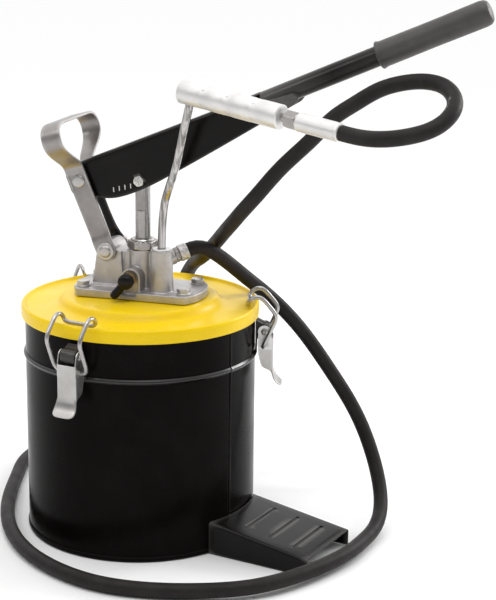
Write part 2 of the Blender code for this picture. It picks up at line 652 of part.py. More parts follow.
def cross_bolt(name, centre, radius, front, back, head_r, head_t, hex_head):
    """A bolt along Y through centre, its head in front, and a nut behind."""
    length = back - front
    place = along(centre + Vector((0, front, 0)), (0, 1, 0))
    if hex_head:
        shank = [(0, -0.003), (radius, -0.003), (radius, length + 0.0075), (0, length + 0.0075)]
        body = add(name, lathe(shank, 16), ZINC, place)
        boolean(body, add(f"{name}_head", prism(hexagon(2 * head_r), -head_t, -GAP), ZINC, place), "UNION")
    else:
        shank = [(0, -head_t), (head_r * 0.75, -head_t), (head_r, -head_t * 0.55), (head_r, -GAP)]
        shank += [(radius, -GAP), (radius, length + 0.0075), (0, length + 0.0075)]
        body = add(name, lathe(shank, 20), ZINC, place)
    nut = add(f"{name}_nut", prism(hexagon(2 * head_r), 0, 0.0055), ZINC, smooth=False)
    nut.matrix_world = along(centre + Vector((0, back + GAP, 0)), (0, 1, 0))
    boolean(nut, cutter(radius + GAP, centre + Vector((0, back - 0.005, 0)), (0, 1, 0), 0.03, 16))


def linkage_bolts():
    outside = LINK_Y + STRAP_T / 2
    cross_bolt("link_bolt_upper", LINK_TOP, 0.0040, -outside, outside, 0.0068, 0.0028, False)
    low = outside + 0.0015
    cross_bolt("link_bolt_lower", LINK_LOW, 0.0042, -low, low, 0.0098, 0.0036, False)
    cross_bolt("rod_bolt", LEVER_PIN, 0.0040, -CHANNEL_HALF, CHANNEL_HALF, 0.0062, 0.0040, True)


# ---- hose, valve and outlet ---------------------------------------------------------------


def outlet():
    start = OUTLET_START + OUTLET_WAY * GAP
    end = Vector(HOSE_ROUTE[0])
    direction = OUTLET_WAY
    add("outlet_fitting", prism(hexagon(0.0170), 0, 0.0050), STEEL, along(start, direction), smooth=False)
    first = start + direction * (0.0050 + GAP)
    length = (end - first).length - GAP
    shell = [(0, 0), (0.0078, 0), (0.0090, 0.0015), (0.0092, length - 0.001), (0.0086, length), (0, length)]
    add("outlet_ferrule", lathe(shell, 16), ALUMINIUM, along(first, direction))


def nozzle():
    x, y = TOWER_XY
    line = [(x, y, 0.2982), (x, y, 0.3170), (0.0305, -0.0174, 0.3290), (0.0315, -0.0182, 0.3450)]
    line += [(0.0331, -0.0194, 0.3575), (0.0352, -0.0209, 0.3680), (0.0392, -0.0240, 0.3790)]
    line += [(0.0490, -0.0313, 0.4030), (0.0596, -0.0395, 0.4362), (0.0709, -0.0480, 0.4756)]
    wire("nozzle_tube", line, 0.0043, CHROME, 2)

    direction = (Vector(HOSE_ROUTE[-1]) - VALVE_START).normalized()
    place = along(VALVE_START, direction)
    body = [(0, 0), (VALVE_R - 0.001, 0), (VALVE_R, 0.001), (VALVE_R, VALVE_LENGTH - 0.001)]
    body += [(VALVE_R - 0.001, VALVE_LENGTH), (0, VALVE_LENGTH)]
    handle = add("valve_handle", lathe(body, 20), ALUMINIUM, place)
    entry = Vector((0.0709, -0.0480, 0.4756))
    lean = Vector((0.0113, -0.0085, 0.0394)).normalized()
    boolean(handle, cutter(0.0047, entry - lean * 0.02, lean, 0.0206, 16))

    neck = [(0, 0), (0.0042, 0), (0.0042, 0.0052), (0, 0.0052)]
    at = VALVE_LENGTH + GAP
    add("valve_neck", lathe(neck, 16), STEEL, place @ Matrix.Translation((0, 0, at)))
    at += 0.0052 + GAP
    add("swivel_nut", prism(hexagon(0.0190), 0, 0.0130), STEEL, place @ Matrix.Translation((0, 0, at)), smooth=False)
    at += 0.0130 + GAP
    length = (Vector(HOSE_ROUTE[-1]) - VALVE_START).length - at - GAP
    shell = [(0, 0), (0.0085, 0), (0.0095, 0.002), (0.0095, length - 0.002), (0.0088, length), (0, length)]
    add("hose_ferrule", lathe(shell, 16), ALUMINIUM, place @ Matrix.Translation((0, 0, at)))


def hose():
    middle = smooth_curve(HOSE_ROUTE, HOSE_STEP)
    first = Vector(HOSE_ROUTE[0])
    last = Vector(HOSE_ROUTE[-1])
    valve_way = (last - VALVE_START).normalized()
    into = [first + OUTLET_WAY * 0.0006, first + OUTLET_WAY * HOSE_STUB]
    out = [last + valve_way * HOSE_STUB, last + valve_way * 0.0006]
    wire("hose", into + middle[1:-1] + out, HOSE_R, HOSE_RUBBER, 2)


# ---- bleed cock ---------------------------------------------------------------------------


def bleed_cock():
    centre = Vector((-0.0010, -0.0310 - GAP, 0.2835))
    body = [(0, -0.0090), (0.0033, -0.0090), (0.0033, 0), (0.0070, 0), (0.0070, 0.0060), (0, 0.0060)]
    add("cock_body", lathe(body, 16), BRASS, along(centre, (0, -1, 0)))
    front = centre + Vector((0, -0.0060 - GAP, 0))
    place = along(front, (0, -1, 0))
    cap = [(0, 0), (0.0070, 0), (0.0083, 0.0020), (0.0083, 0.0090), (0.0060, 0.0120), (0, 0.0128)]
    knob = add("cock_knob", lathe(cap, 20), BLACK_PLASTIC, place)
    arm_way = Vector((-0.62, -0.10, -0.78))
    arm = [(0, 0), (0.0042, 0), (0.0046, 0.0150), (0.0040, 0.0225), (0, 0.0230)]
    root = front + Vector((0, -0.0065, 0))
    boolean(knob, add("knob_arm", lathe(arm, 12), BLACK_PLASTIC, along(root, arm_way)), "UNION")


# ---- build --------------------------------------------------------------------------------

for old in list(bpy.data.objects):
    bpy.data.objects.remove(old, do_unlink=True)

BLACK_PAINT = finish("black_paint", (0.012, 0.012, 0.013), 0.25, 0.0)
YELLOW_PAINT = finish("yellow_paint", (0.85, 0.66, 0.02), 0.3, 0.0)
CAST = finish("cast_aluminium", (0.62, 0.60, 0.58), 0.5, 0.9)
ALUMINIUM = finish("turned_aluminium", (0.82, 0.82, 0.81), 0.35, 0.9)
ZINC = finish("zinc_plate", (0.66, 0.64, 0.60), 0.38, 0.9)
STEEL = finish("steel", (0.58, 0.57, 0.55), 0.3, 0.95)
CHROME = finish("chrome", (0.80, 0.80, 0.80), 0.12, 1.0)
BRASS = finish("brass", (0.75, 0.58, 0.28), 0.3, 0.95)
RUBBER = finish("grey_rubber", (0.09, 0.09, 0.085), 0.6, 0.0)
HOSE_RUBBER = finish("hose_rubber", (0.02, 0.02, 0.02), 0.55, 0.0)
BLACK_PLASTIC = finish("black_plastic", (0.015, 0.015, 0.015), 0.4, 0.0)

bucket()
footrest()
for index, degrees in enumerate(LATCH_ANGLES, 1):
    latch(index, degrees)
lid()
head_gasket()
pump_head()
head_bolts()
gland()
barrel()
foot_valve()
piston_and_rod()
outlet_valve()
lever()
carry_handle()
linkage_bolts()
outlet()
nozzle()
hose()
bleed_cock()
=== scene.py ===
"""Hand-lever gear oil pump on its pail: the finished look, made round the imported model.

Metres, in the model's own frame: the origin is the centre of the pail's base on the floor, +X is
the way the pump lever points and +Y is the back.
"""

import math

import bmesh
import bpy
import numpy as np
from mathutils import Matrix, Vector


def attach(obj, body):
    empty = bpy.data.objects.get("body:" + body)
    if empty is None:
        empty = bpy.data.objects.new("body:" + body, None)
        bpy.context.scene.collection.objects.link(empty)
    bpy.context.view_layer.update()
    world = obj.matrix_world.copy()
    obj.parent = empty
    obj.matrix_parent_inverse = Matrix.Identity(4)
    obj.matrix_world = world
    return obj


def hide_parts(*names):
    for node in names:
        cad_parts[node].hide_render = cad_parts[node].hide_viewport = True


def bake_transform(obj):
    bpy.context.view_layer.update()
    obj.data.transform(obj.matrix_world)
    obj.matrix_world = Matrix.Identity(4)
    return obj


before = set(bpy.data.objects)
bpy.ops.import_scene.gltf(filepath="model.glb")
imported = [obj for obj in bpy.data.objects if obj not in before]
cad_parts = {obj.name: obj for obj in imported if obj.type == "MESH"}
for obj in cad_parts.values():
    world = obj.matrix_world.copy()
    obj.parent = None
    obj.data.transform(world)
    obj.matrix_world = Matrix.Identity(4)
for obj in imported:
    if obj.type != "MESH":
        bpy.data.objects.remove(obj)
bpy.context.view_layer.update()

# ---- driving dimensions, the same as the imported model's ----

GAP = 0.0003

PAIL_R = 0.125
PAIL_WALL = 0.0012
PAIL_RIM_Z = 0.2489
BEAD_Z = 0.1985
SEAM_ANGLE = math.radians(-22)

LID_R = 0.129
LID_SHEET = 0.001
PLATEAU_R = 0.081
PLATEAU_Z = 0.2606
LID_HOLE_R = 0.027

SKIN_STEP = 0.00062
FLANGE_Z0 = 0.263
FLANGE_Z1 = 0.27
HEAD_TOP_Z = 0.311
HEAD_BOLTS = [(sx * 0.057, sy * 0.024) for sx in (-1, 1) for sy in (-1, 1)]

ROD_X = 0.003
ROD_R = 0.0081
AT_ROD = Matrix.Translation((ROD_X, 0, 0))
TOWER = Vector((0.03, -0.017))
TOWER_TOP_Z = 0.316

LEVER_PIN = Vector((0.004, 0.0, 0.387))
LINK_LOW = Vector((-0.0319, 0.0, 0.3094))
LINK_TOP = Vector((-0.0628, 0.0, 0.3835))
LINK_UP = (LINK_TOP - LINK_LOW).normalized()
LEVER_TILT = math.radians(22.0)
LINK_Y = 0.0185
STRAP_T = 0.003
STRAP_W = 0.022
BACK_LEG_HALF = 0.0078
WAIST_DEPTH = 0.0032
RING_BEND = 0.093
RING_LEAN = math.radians(7.0)

CHANNEL_HALF = 0.0132
CHANNEL_T = 0.002
TUBE_START = (0.156, 0.0333)
TUBE_TILT = LEVER_TILT + math.radians(1.75)
TUBE_R = 0.0105
GRIP_R = 0.0134

LATCH_ANGLES = (-102.0, 13.0, 133.0)
LATCH_PIVOT = (0.1355, 0.224)
BAIL_PIVOT = (0.1345, 0.2075)
BAIL_WIRE_R = 0.00225

FOOT_TURN = math.radians(-13)
FOOT_HALF = 0.049
FOOT_OUT = 0.2345
FOOT_SHEET = 0.002

VALVE_START = Vector((0.0627, -0.0443, 0.489))
VALVE_R = 0.0125
VALVE_LENGTH = 0.1231

HOSE_R = 0.0079
MARK_ALONG = 2.145
MARK_TURN = 0.5
FLOOR_Z = 0.008
HOSE_ROUTE = [
    (0.0503, 0.008, 0.3105), (0.0572, 0.0131, 0.3128), (0.065, 0.0198, 0.3115),
    (0.0762, 0.0305, 0.3032), (0.0885, 0.0445, 0.289), (0.1022, 0.0632, 0.2703),
    (0.121, 0.0832, 0.2475), (0.1487, 0.097, 0.2155), (0.1883, 0.106, 0.1604),
    (0.2212, 0.105, 0.1106), (0.2395, 0.094, 0.078), (0.2545, 0.075, 0.0465),
    (0.2628, 0.049, 0.024), (0.263, 0.021, 0.0135), (0.2585, -0.01, 0.0112),
    (0.2501, -0.0517, 0.012), (0.2351, -0.0883, 0.012), (0.2086, -0.1322, 0.012),
    (0.1749, -0.1649, 0.011), (0.1322, -0.1827, 0.009), (0.0796, -0.1953, FLOOR_Z),
    (0.0252, -0.1961, FLOOR_Z), (-0.0284, -0.1774, FLOOR_Z), (-0.083, -0.1371, FLOOR_Z),
    (-0.1329, -0.0675, FLOOR_Z), (-0.1605, -0.0009, FLOOR_Z), (-0.1793, 0.0639, FLOOR_Z),
    (-0.19, 0.112, FLOOR_Z), (-0.184, 0.156, 0.012), (-0.157, 0.19, 0.033),
    (-0.112, 0.201, 0.072), (-0.066, 0.19, 0.126), (-0.03, 0.173, 0.184),
    (-0.006, 0.155, 0.23), (0.012, 0.137, 0.259), (0.0396, 0.094, 0.283),
    (0.0638, 0.058, 0.3057), (0.0775, 0.036, 0.3194), (0.0933, 0.01, 0.3354),
    (0.1067, -0.009, 0.349), (0.1201, -0.0215, 0.3637), (0.1366, -0.027, 0.3822),
    (0.1631, -0.0285, 0.4134), (0.1959, -0.028, 0.4461), (0.2171, -0.028, 0.4681),
    (0.2393, -0.028, 0.4838), (0.2622, -0.028, 0.498), (0.2862, -0.0285, 0.5061),
    (0.3091, -0.0345, 0.5094), (0.3303, -0.048, 0.5073), (0.3438, -0.068, 0.4994),
    (0.3465, -0.09, 0.4892), (0.3357, -0.11, 0.4773), (0.3137, -0.122, 0.4694),
    (0.2813, -0.1205, 0.4642), (0.2545, -0.11, 0.4642), (0.2428, -0.106, 0.4657),
]
OUTLET_START = Vector((0.0386, -0.0006, 0.3055))
OUTLET_WAY = (Vector(HOSE_ROUTE[0]) - OUTLET_START).normalized()
VALVE_WAY = (Vector(HOSE_ROUTE[-1]) - VALVE_START).normalized()


# ---- camera, light and floor ----

RANGE_SOCKETS = ("From Min", "From Max", "To Min", "To Max")


def turned(x=0.0, z=0.0, roll=0.0):
    """Degrees about world X, then Z, after a roll about the lens."""
    r = Matrix.Rotation(math.radians(z), 4, "Z") @ Matrix.Rotation(math.radians(x), 4, "X")
    return r @ Matrix.Rotation(math.radians(roll), 4, "Z")


def add_camera():
    data = bpy.data.cameras.new("view")
    data.lens = 99.84
    data.sensor_width = 36.0
    data.clip_end = 50.0
    view = bpy.data.objects.new("view", data)
    view.matrix_world = Matrix.Translation((0.599, -1.646, 0.72)) @ turned(75.08, 16.18, 0.71)
    bpy.context.collection.objects.link(view)
    bpy.context.scene.camera = view


def area_light(name, place, target, size, watts):
    data = bpy.data.lights.new(name, "AREA")
    data.shape = "RECTANGLE"
    data.size, data.size_y = size
    data.energy = watts
    light = bpy.data.objects.new(name, data)
    way = Vector(target) - Vector(place)
    turn = way.to_track_quat("-Z", "Y").to_matrix().to_4x4()
    light.matrix_world = Matrix.Translation(place) @ turn
    bpy.context.collection.objects.link(light)


def add_studio():
    """White light from above and behind, dimmer low down in front, and three small lamps."""
    bpy.context.scene.view_settings.view_transform = "Standard"
    world = bpy.data.worlds.new("studio")
    world.use_nodes = True
    nodes, links = world.node_tree.nodes, world.node_tree.links
    facing = nodes.new("ShaderNodeVectorMath")
    facing.operation = "DOT_PRODUCT"
    facing.inputs[1].default_value = (-0.08, 0.5, 0.86)
    links.new(nodes.new("ShaderNodeTexCoord").outputs["Generated"], facing.inputs[0])
    spread = nodes.new("ShaderNodeMapRange")
    spread.interpolation_type = "SMOOTHSTEP"
    for socket, value in zip(RANGE_SOCKETS, (-0.05, 0.9, 0.26, 1.42)):
        spread.inputs[socket].default_value = value
    links.new(facing.outputs["Value"], spread.inputs["Value"])
    links.new(spread.outputs["Result"], nodes["Background"].inputs["Strength"])
    nodes["Background"].inputs["Color"].default_value = (1.0, 1.0, 1.0, 1)
    bpy.context.scene.world = world
    centre = (0.02, 0, 0.25)
    area_light("key", (-1.3, -1.5, 2.1), centre, (0.45, 0.45), 6.5)
    area_light("overhead", (0.3, -0.75, 2.3), centre, (1.0, 0.08), 9)
    area_light("side", (1.3, 1.2, 0.9), (0.5, 0.5, 0), (0.6, 0.6), 12)


def add_floor():
    """A wide white floor, just under the pail's base."""
    plane = bmesh.new()
    bmesh.ops.create_grid(plane, x_segments=1, y_segments=1, size=30)
    mesh = bpy.data.meshes.new("floor")
    plane.to_mesh(mesh)
    plane.free()
    floor = bpy.data.objects.new("floor", mesh)
    floor.location.z = -0.0004
    bpy.context.collection.objects.link(floor)
    paint = bpy.data.materials.new("floor")
    paint.use_nodes = True
    shader = paint.node_tree.nodes["Principled BSDF"]
    shader.inputs["Base Color"].default_value = (0.93, 0.93, 0.93, 1)
    shader.inputs["Roughness"].default_value = 0.8
    shader.inputs["Specular IOR Level"].default_value = 0.1
    mesh.materials.append(paint)


# ---- materials ----


class Finish:
    """A Principled material, and short names for the nodes that feed it."""

    def __init__(self, name, **fixed):
        self.material = bpy.data.materials.new(name)
        self.material.use_nodes = True
        self.nodes = self.material.node_tree.nodes
        self.links = self.material.node_tree.links
        self.shader = self.nodes["Principled BSDF"]
        self.place = self.nodes.new("ShaderNodeTexCoord").outputs["Object"]
        for socket, value in fixed.items():
            self.shader.inputs[socket.replace("_", " ")].default_value = value

    def stretched(self, scale):
        mapping = self.nodes.new("ShaderNodeMapping")
        mapping.inputs["Scale"].default_value = scale
        self.links.new(self.place, mapping.inputs["Vector"])
        return mapping.outputs["Vector"]

    def noise(self, scale, detail, rough, vector=None):
        node = self.nodes.new("ShaderNodeTexNoise")
        node.inputs["Scale"].default_value = scale
        node.inputs["Detail"].default_value = detail
        node.inputs["Roughness"].default_value = rough
        self.links.new(vector or self.place, node.inputs["Vector"])
        return node.outputs["Fac"]

    def spread(self, value, low, high, new_low=0.0, new_high=1.0):
        node = self.nodes.new("ShaderNodeMapRange")
        for socket, number in zip(RANGE_SOCKETS, (low, high, new_low, new_high)):
            node.inputs[socket].default_value = number
        self.links.new(value, node.inputs["Value"])
        return node.outputs["Result"]

    def maths(self, operation, first, second):
        node = self.nodes.new("ShaderNodeMath")
        node.operation = operation
        for socket, value in zip(node.inputs, (first, second)):
            if isinstance(value, (int, float)):
                socket.default_value = value
            else:
                self.links.new(value, socket)
        return node.outputs[0]

    def blend(self, amount, first, second):
        node = self.nodes.new("ShaderNodeMix")
        node.data_type = "RGBA"
        self.links.new(amount, node.inputs["Factor"])
        for socket, value in ((node.inputs[6], first), (node.inputs[7], second)):
            if isinstance(value, tuple):
                socket.default_value = (*value, 1)
            else:
                self.links.new(value, socket)
        return node.outputs[2]

    def patches(self, scale, detail, rough, low=0.3, high=0.7):
        """Soft noise with its middle range spread from 0 to 1."""
        return self.spread(self.noise(scale, detail, rough), low, high)

    def edges(self, low=0.53, high=0.6):
        pointed = self.nodes.new("ShaderNodeNewGeometry").outputs["Pointiness"]
        return self.spread(pointed, low, high)

    def over(self, base, colour, mask, strength):
        """A colour laid over the base where the mask is high."""
        return self.blend(self.maths("MULTIPLY", mask, strength), base, colour)

    def colour(self, value):
        self.links.new(value, self.shader.inputs["Base Color"])

    def roughness(self, scale, detail, smoothest, roughest):
        patchy = self.spread(self.noise(scale, detail, 0.6), 0.3, 0.7, smoothest, roughest)
        self.links.new(patchy, self.shader.inputs["Roughness"])

    def grain(self, scale, detail, rough, distance, strength):
        self.bump(self.noise(scale, detail, rough), distance, strength)

    def bump(self, height, distance, strength):
        node = self.nodes.new("ShaderNodeBump")
        node.inputs["Strength"].default_value = strength
        node.inputs["Distance"].default_value = distance
        self.links.new(height, node.inputs["Height"])
        before = self.shader.inputs["Normal"].links
        if before:
            self.links.new(before[0].from_socket, node.inputs["Normal"])
        self.links.new(node.outputs["Normal"], self.shader.inputs["Normal"])


def black_paint(name, gloss):
    f = Finish(name, Specular_IOR_Level=gloss, IOR=1.5)
    dust = f.patches(18, 5, 0.6, 0.42, 0.75)
    speck = f.patches(900, 2, 0.5, 0.62, 0.78)
    clean = f.blend(dust, (0.0032, 0.0024, 0.0022), (0.0062, 0.0051, 0.0048))
    base = f.over(clean, (0.05, 0.047, 0.045), speck, 0.18)
    # painted highlight: edges and folds get a lighter colour laid over the black
    f.colour(f.over(base, (0.2, 0.19, 0.185), f.edges(0.515, 0.56), 0.5))
    f.roughness(30, 6, 0.17, 0.3)
    f.grain(420, 2, 0.5, 0.00006, 0.5)
    f.grain(14, 2, 0.5, 0.0006, 0.35)
    return f.material


def yellow_paint():
    f = Finish("yellow_paint", Specular_IOR_Level=0.24)
    tone = f.patches(16, 4, 0.55)
    base = f.blend(tone, (0.88, 0.6, 0.0015), (0.94, 0.65, 0.003))
    smudge = f.patches(55, 6, 0.65, 0.6, 0.8)
    f.colour(f.over(base, (0.7, 0.44, 0.004), smudge, 0.35))
    f.roughness(26, 5, 0.24, 0.38)
    f.grain(380, 2, 0.5, 0.00005, 0.5)
    f.grain(11, 2, 0.5, 0.0012, 0.4)
    return f.material


def cast_metal():
    f = Finish("cast_aluminium", Metallic=0.8)
    tone = f.patches(45, 6, 0.6)
    base = f.blend(tone, (0.43, 0.412, 0.408), (0.56, 0.54, 0.534))
    pits = f.patches(620, 3, 0.6, 0.6, 0.72)
    base = f.over(base, (0.2, 0.185, 0.18), pits, 0.5)
    f.colour(f.over(base, (0.78, 0.76, 0.74), f.edges(), 0.55))
    f.roughness(120, 5, 0.36, 0.52)
    f.grain(900, 3, 0.6, 0.00018, 0.5)
    f.grain(90, 3, 0.5, 0.0006, 0.35)
    return f.material


def plated(name, light, dark, rough, grain=(1200, 1200, 60)):
    """Zinc or bright steel: cloudy plating, fine grain along one axis, brighter edges."""
    f = Finish(name, Metallic=0.95)
    tone = f.patches(38, 5, 0.6, 0.32, 0.68)
    base = f.blend(tone, dark, light)
    stain = f.patches(140, 5, 0.65, 0.6, 0.8)
    base = f.over(base, tuple(0.55 * c for c in dark), stain, 0.35)
    f.colour(f.over(base, (0.93, 0.92, 0.9), f.edges(), 0.4))
    f.roughness(75, 5, rough - 0.06, rough + 0.08)
    lines = f.noise(1.0, 4, 0.6, f.stretched(grain))
    f.bump(lines, 0.00005, 0.5)
    f.grain(60, 2, 0.5, 0.0004, 0.25)
    return f.material


def chrome():
    f = Finish("chrome", Metallic=1.0)
    # painted reflection: dark streaks along the tube, in the base colour
    reflection_streak = f.spread(f.noise(1.0, 3, 0.5, f.stretched((330, 330, 7))), 0.36, 0.62)
    tone = f.patches(30, 4, 0.6)
    light = f.blend(tone, (0.44, 0.425, 0.412), (0.58, 0.565, 0.553))
    f.colour(f.blend(reflection_streak, (0.17, 0.16, 0.152), light))
    f.roughness(110, 5, 0.08, 0.18)
    f.bump(f.noise(1.0, 3, 0.5, f.stretched((900, 900, 40))), 0.00003, 0.4)
    return f.material


def satin_aluminium():
    f = Finish("satin_aluminium", Metallic=0.75, Specular_IOR_Level=0.5)
    tone = f.patches(40, 5, 0.6)
    f.colour(f.blend(tone, (0.7, 0.688, 0.682), (0.82, 0.81, 0.804)))
    f.roughness(140, 5, 0.44, 0.56)
    f.grain(900, 3, 0.6, 0.00008, 0.5)
    return f.material


def grip_rubber():
    f = Finish("grip_rubber", Specular_IOR_Level=0.5)
    tone = f.patches(32, 4, 0.6)
    f.colour(f.blend(tone, (0.046, 0.042, 0.04), (0.074, 0.068, 0.064)))
    f.roughness(80, 5, 0.42, 0.58)
    f.grain(1500, 2, 0.5, 0.0001, 0.6)
    f.grain(70, 3, 0.5, 0.0003, 0.3)
    return f.material


def hose_rubber():
    """Black rubber with a fine wrap mark, pale scuffs and one short row of dashes."""
    f = Finish("hose_rubber", Specular_IOR_Level=0.15)
    tone = f.patches(28, 5, 0.6)
    base = f.blend(tone, (0.0135, 0.0115, 0.0112), (0.027, 0.0235, 0.023))
    scuff = f.patches(70, 7, 0.7, 0.58, 0.78)
    base = f.over(base, (0.11, 0.105, 0.1), scuff, 0.16)
    split = f.nodes.new("ShaderNodeSeparateXYZ")
    f.links.new(f.nodes.new("ShaderNodeTexCoord").outputs["UV"], split.inputs["Vector"])
    along, around = split.outputs["X"], split.outputs["Y"]
    dash = f.maths("GREATER_THAN", f.maths("FRACT", f.maths("MULTIPLY", along, 190.0), 0.0), 0.5)
    off_line = f.maths("ABSOLUTE", f.maths("SUBTRACT", around, MARK_TURN), 0.0)
    off_row = f.maths("ABSOLUTE", f.maths("SUBTRACT", along, MARK_ALONG), 0.0)
    near = f.maths("LESS_THAN", off_line, 0.045)
    near = f.maths("MULTIPLY", near, f.maths("LESS_THAN", off_row, 0.019))
    worn = f.patches(260, 4, 0.6, 0.38, 0.55)
    stripe = f.maths("MULTIPLY", f.maths("MULTIPLY", dash, near), worn)
    f.colour(f.over(base, (0.34, 0.33, 0.32), stripe, 0.75))
    f.roughness(60, 5, 0.44, 0.62)
    wrap = f.maths("SINE", f.maths("MULTIPLY", along, 1900.0), 0.0)
    f.bump(wrap, 0.00004, 0.4)
    f.grain(700, 3, 0.6, 0.0001, 0.5)
    return f.material


def seal_rubber():
    f = Finish("seal_rubber", Specular_IOR_Level=0.4)
    tone = f.patches(60, 4, 0.6)
    f.colour(f.blend(tone, (0.02, 0.02, 0.02), (0.036, 0.035, 0.034)))
    f.roughness(120, 4, 0.5, 0.66)
    f.grain(1200, 2, 0.5, 0.00008, 0.5)
    return f.material


def black_plastic():
    f = Finish("black_plastic", Specular_IOR_Level=0.22)
    tone = f.patches(90, 4, 0.6)
    f.colour(f.blend(tone, (0.004, 0.0035, 0.004), (0.009, 0.008, 0.0085)))
    f.roughness(160, 4, 0.26, 0.42)
    f.grain(1100, 2, 0.5, 0.00008, 0.5)
    return f.material


def brass():
    f = Finish("brass", Metallic=0.95)
    tone = f.patches(70, 5, 0.6)
    f.colour(f.blend(tone, (0.5, 0.33, 0.12), (0.68, 0.48, 0.21)))
    f.roughness(150, 5, 0.24, 0.4)
    f.grain(900, 3, 0.6, 0.00006, 0.5)
    return f.material


# ---- shape helpers ----


def add(name, bm, material, matrix=None, sharp=34.0):
    """An object made from bmesh data, shaded smooth except at sharp edges."""
    bmesh.ops.remove_doubles(bm, verts=bm.verts, dist=1e-7)
    bmesh.ops.recalc_face_normals(bm, faces=bm.faces)
    mesh = bpy.data.meshes.new(name)
    bm.to_mesh(mesh)
    bm.free()
    mesh.materials.append(material)
    obj = bpy.data.objects.new(name, mesh)
    bpy.context.collection.objects.link(obj)
    if matrix is not None:
        obj.matrix_world = matrix
    shade(obj, sharp)
    return obj


def shade(obj, sharp):
    for face in obj.data.polygons:
        face.use_smooth = True
    obj.data.set_sharp_from_angle(angle=math.radians(sharp))


def settle(obj, sharp=34.0):
    """Applies the modifiers and shades the result."""
    bpy.context.view_layer.update()
    done = obj.evaluated_get(bpy.context.evaluated_depsgraph_get())
    mesh = bpy.data.meshes.new_from_object(done)
    old = obj.data
    obj.modifiers.clear()
    obj.data = mesh
    bpy.data.meshes.remove(old)
    mesh.name = obj.name
    shade(obj, sharp)
    return obj


def carve(obj, tools, operation="DIFFERENCE"):
    """Boolean with each tool in turn; the tools are used up."""
    for tool in tools if isinstance(tools, list) else [tools]:
        step = obj.modifiers.new("carve", "BOOLEAN")
        step.operation = operation
        step.solver = "EXACT"
        step.object = tool
        settle(obj)
        bpy.data.objects.remove(tool, do_unlink=True)
    return obj


def bevel(obj, width, limit=32.0):
    """Rounds the edges that turn by more than the limit, in degrees."""
    step = obj.modifiers.new("bevel", "BEVEL")
    step.width = width
    step.segments = 2
    step.limit_method = "ANGLE"
    step.angle_limit = math.radians(limit)
    step.harden_normals = False
    return settle(obj)


BACK = Vector((0, 1, 0))


def along(start, direction):
    """A matrix that takes +Z to a direction, from a start point."""
    turn = Vector((0, 0, 1)).rotation_difference(Vector(direction).normalized())
    return Matrix.Translation(start) @ turn.to_matrix().to_4x4()


def soften(outline, radius, steps=4, closed=True):
    """The outline with each corner eased into a short curve."""
    points = [Vector(p) for p in outline]
    n = len(points)
    eased = []
    for k, corner in enumerate(points):
        if not closed and k in (0, n - 1):
            eased.append(corner)
            continue
        before, after = points[k - 1], points[(k + 1) % n]
        back = (before - corner) * min(0.45, radius / max((before - corner).length, 1e-9))
        ahead = (after - corner) * min(0.45, radius / max((after - corner).length, 1e-9))
        for i in range(steps + 1):
            t = i / steps
            eased.append(corner + back * (1 - t) ** 2 + ahead * t**2)
    return [tuple(p) for p in eased]


def arc(centre, radius, start, end, steps):
    """Points round a centre, angles in degrees."""
    x, y = centre
    angles = [math.radians(start + (end - start) * k / steps) for k in range(steps + 1)]
    return [(x + radius * math.cos(a), y + radius * math.sin(a)) for a in angles]


def mirrored(points):
    """The points run backwards with their second number turned over."""
    return [(x, -y) for x, y in reversed(points)]


def moved(x=0.0, y=0.0, z=0.0):
    return Matrix.Translation((x, y, z))


def shifted(matrix, distance):
    """The matrix moved along its own Z."""
    return matrix @ moved(z=distance)


def lathe(profile, steps=64, angles=None, shape=None):
    """(radius, height) points turned about Z. shape(angle, r, z) may move the radius."""
    angles = angles or [2 * math.pi * k / steps for k in range(steps)]
    shape = shape or (lambda angle, r, z: r)
    bm = bmesh.new()
    rings = []
    for r, z in profile:
        spots = [(shape(a, r, z), a) for a in angles] if r > 1e-7 else [(0, 0)]
        rings.append([bm.verts.new((s * math.cos(a), s * math.sin(a), z)) for s, a in spots])
    count = len(angles)
    for i in range(len(rings)):
        low, high = rings[i], rings[(i + 1) % len(rings)]
        if len(low) == 1 and len(high) == 1:
            continue
        for k in range(count):
            j = (k + 1) % count
            corners = [low[k % len(low)], low[j % len(low)]]
            corners += [high[j % len(high)], high[k % len(high)]]
            bm.faces.new([v for n, v in enumerate(corners) if v not in corners[:n]])
    return bm


def loft(sections, bm=None):
    """A solid through closed rings of points, one after another, with flat ends."""
    bm = bm or bmesh.new()
    rings = [[bm.verts.new(point) for point in section] for section in sections]
    for low, high in zip(rings, rings[1:]):
        for i in range(len(low)):
            j = (i + 1) % len(low)
            bm.faces.new((low[i], low[j], high[j], high[i]))
    bm.faces.new(list(reversed(rings[0])))
    bm.faces.new(rings[-1])
    return bm


def prism(outline, low, high, plane="XY"):
    """An outline pushed from low to high along the axis that its plane leaves out."""
    place = {"XY": lambda u, v, w: (u, v, w), "XZ": lambda u, v, w: (u, w, v)}[plane]
    bm = bmesh.new()
    bottom = [bm.verts.new(place(u, v, low)) for u, v in outline]
    top = [bm.verts.new(place(u, v, high)) for u, v in outline]
    bm.faces.new(bottom)
    bm.faces.new(list(reversed(top)))
    for k in range(len(outline)):
        j = (k + 1) % len(outline)
        bm.faces.new((bottom[k], top[k], top[j], bottom[j]))
    return bm


def slab(outline, side, near, far):
    """A prism across Y on one side of the middle plane, between two distances from it."""
    low, high = sorted((side * near, side * far))
    return prism(outline, low, high, "XZ")


def rod(radius, length, steps=32):
    return lathe([(0, 0), (radius, 0), (radius, length), (0, length)], steps)


def drill(radius, start, direction, length, steps=32):
    return add("drill", rod(radius, length, steps), STEEL, along(start, direction))


def cross_drill(radius, centre, reach):
    """A cutter along Y through a point, with the same reach each way."""
    return drill(radius, centre - BACK * reach, BACK, 2 * reach)


def chamfered(radius, low, high, chamfer, inner=0.0):
    """A ring or disc profile with its outer corners cut back."""
    foot = [(radius - chamfer, low), (radius, low + chamfer)]
    head = [(radius, high - chamfer), (radius - chamfer, high)]
    return [(inner, low)] + foot + head + [(inner, high)]


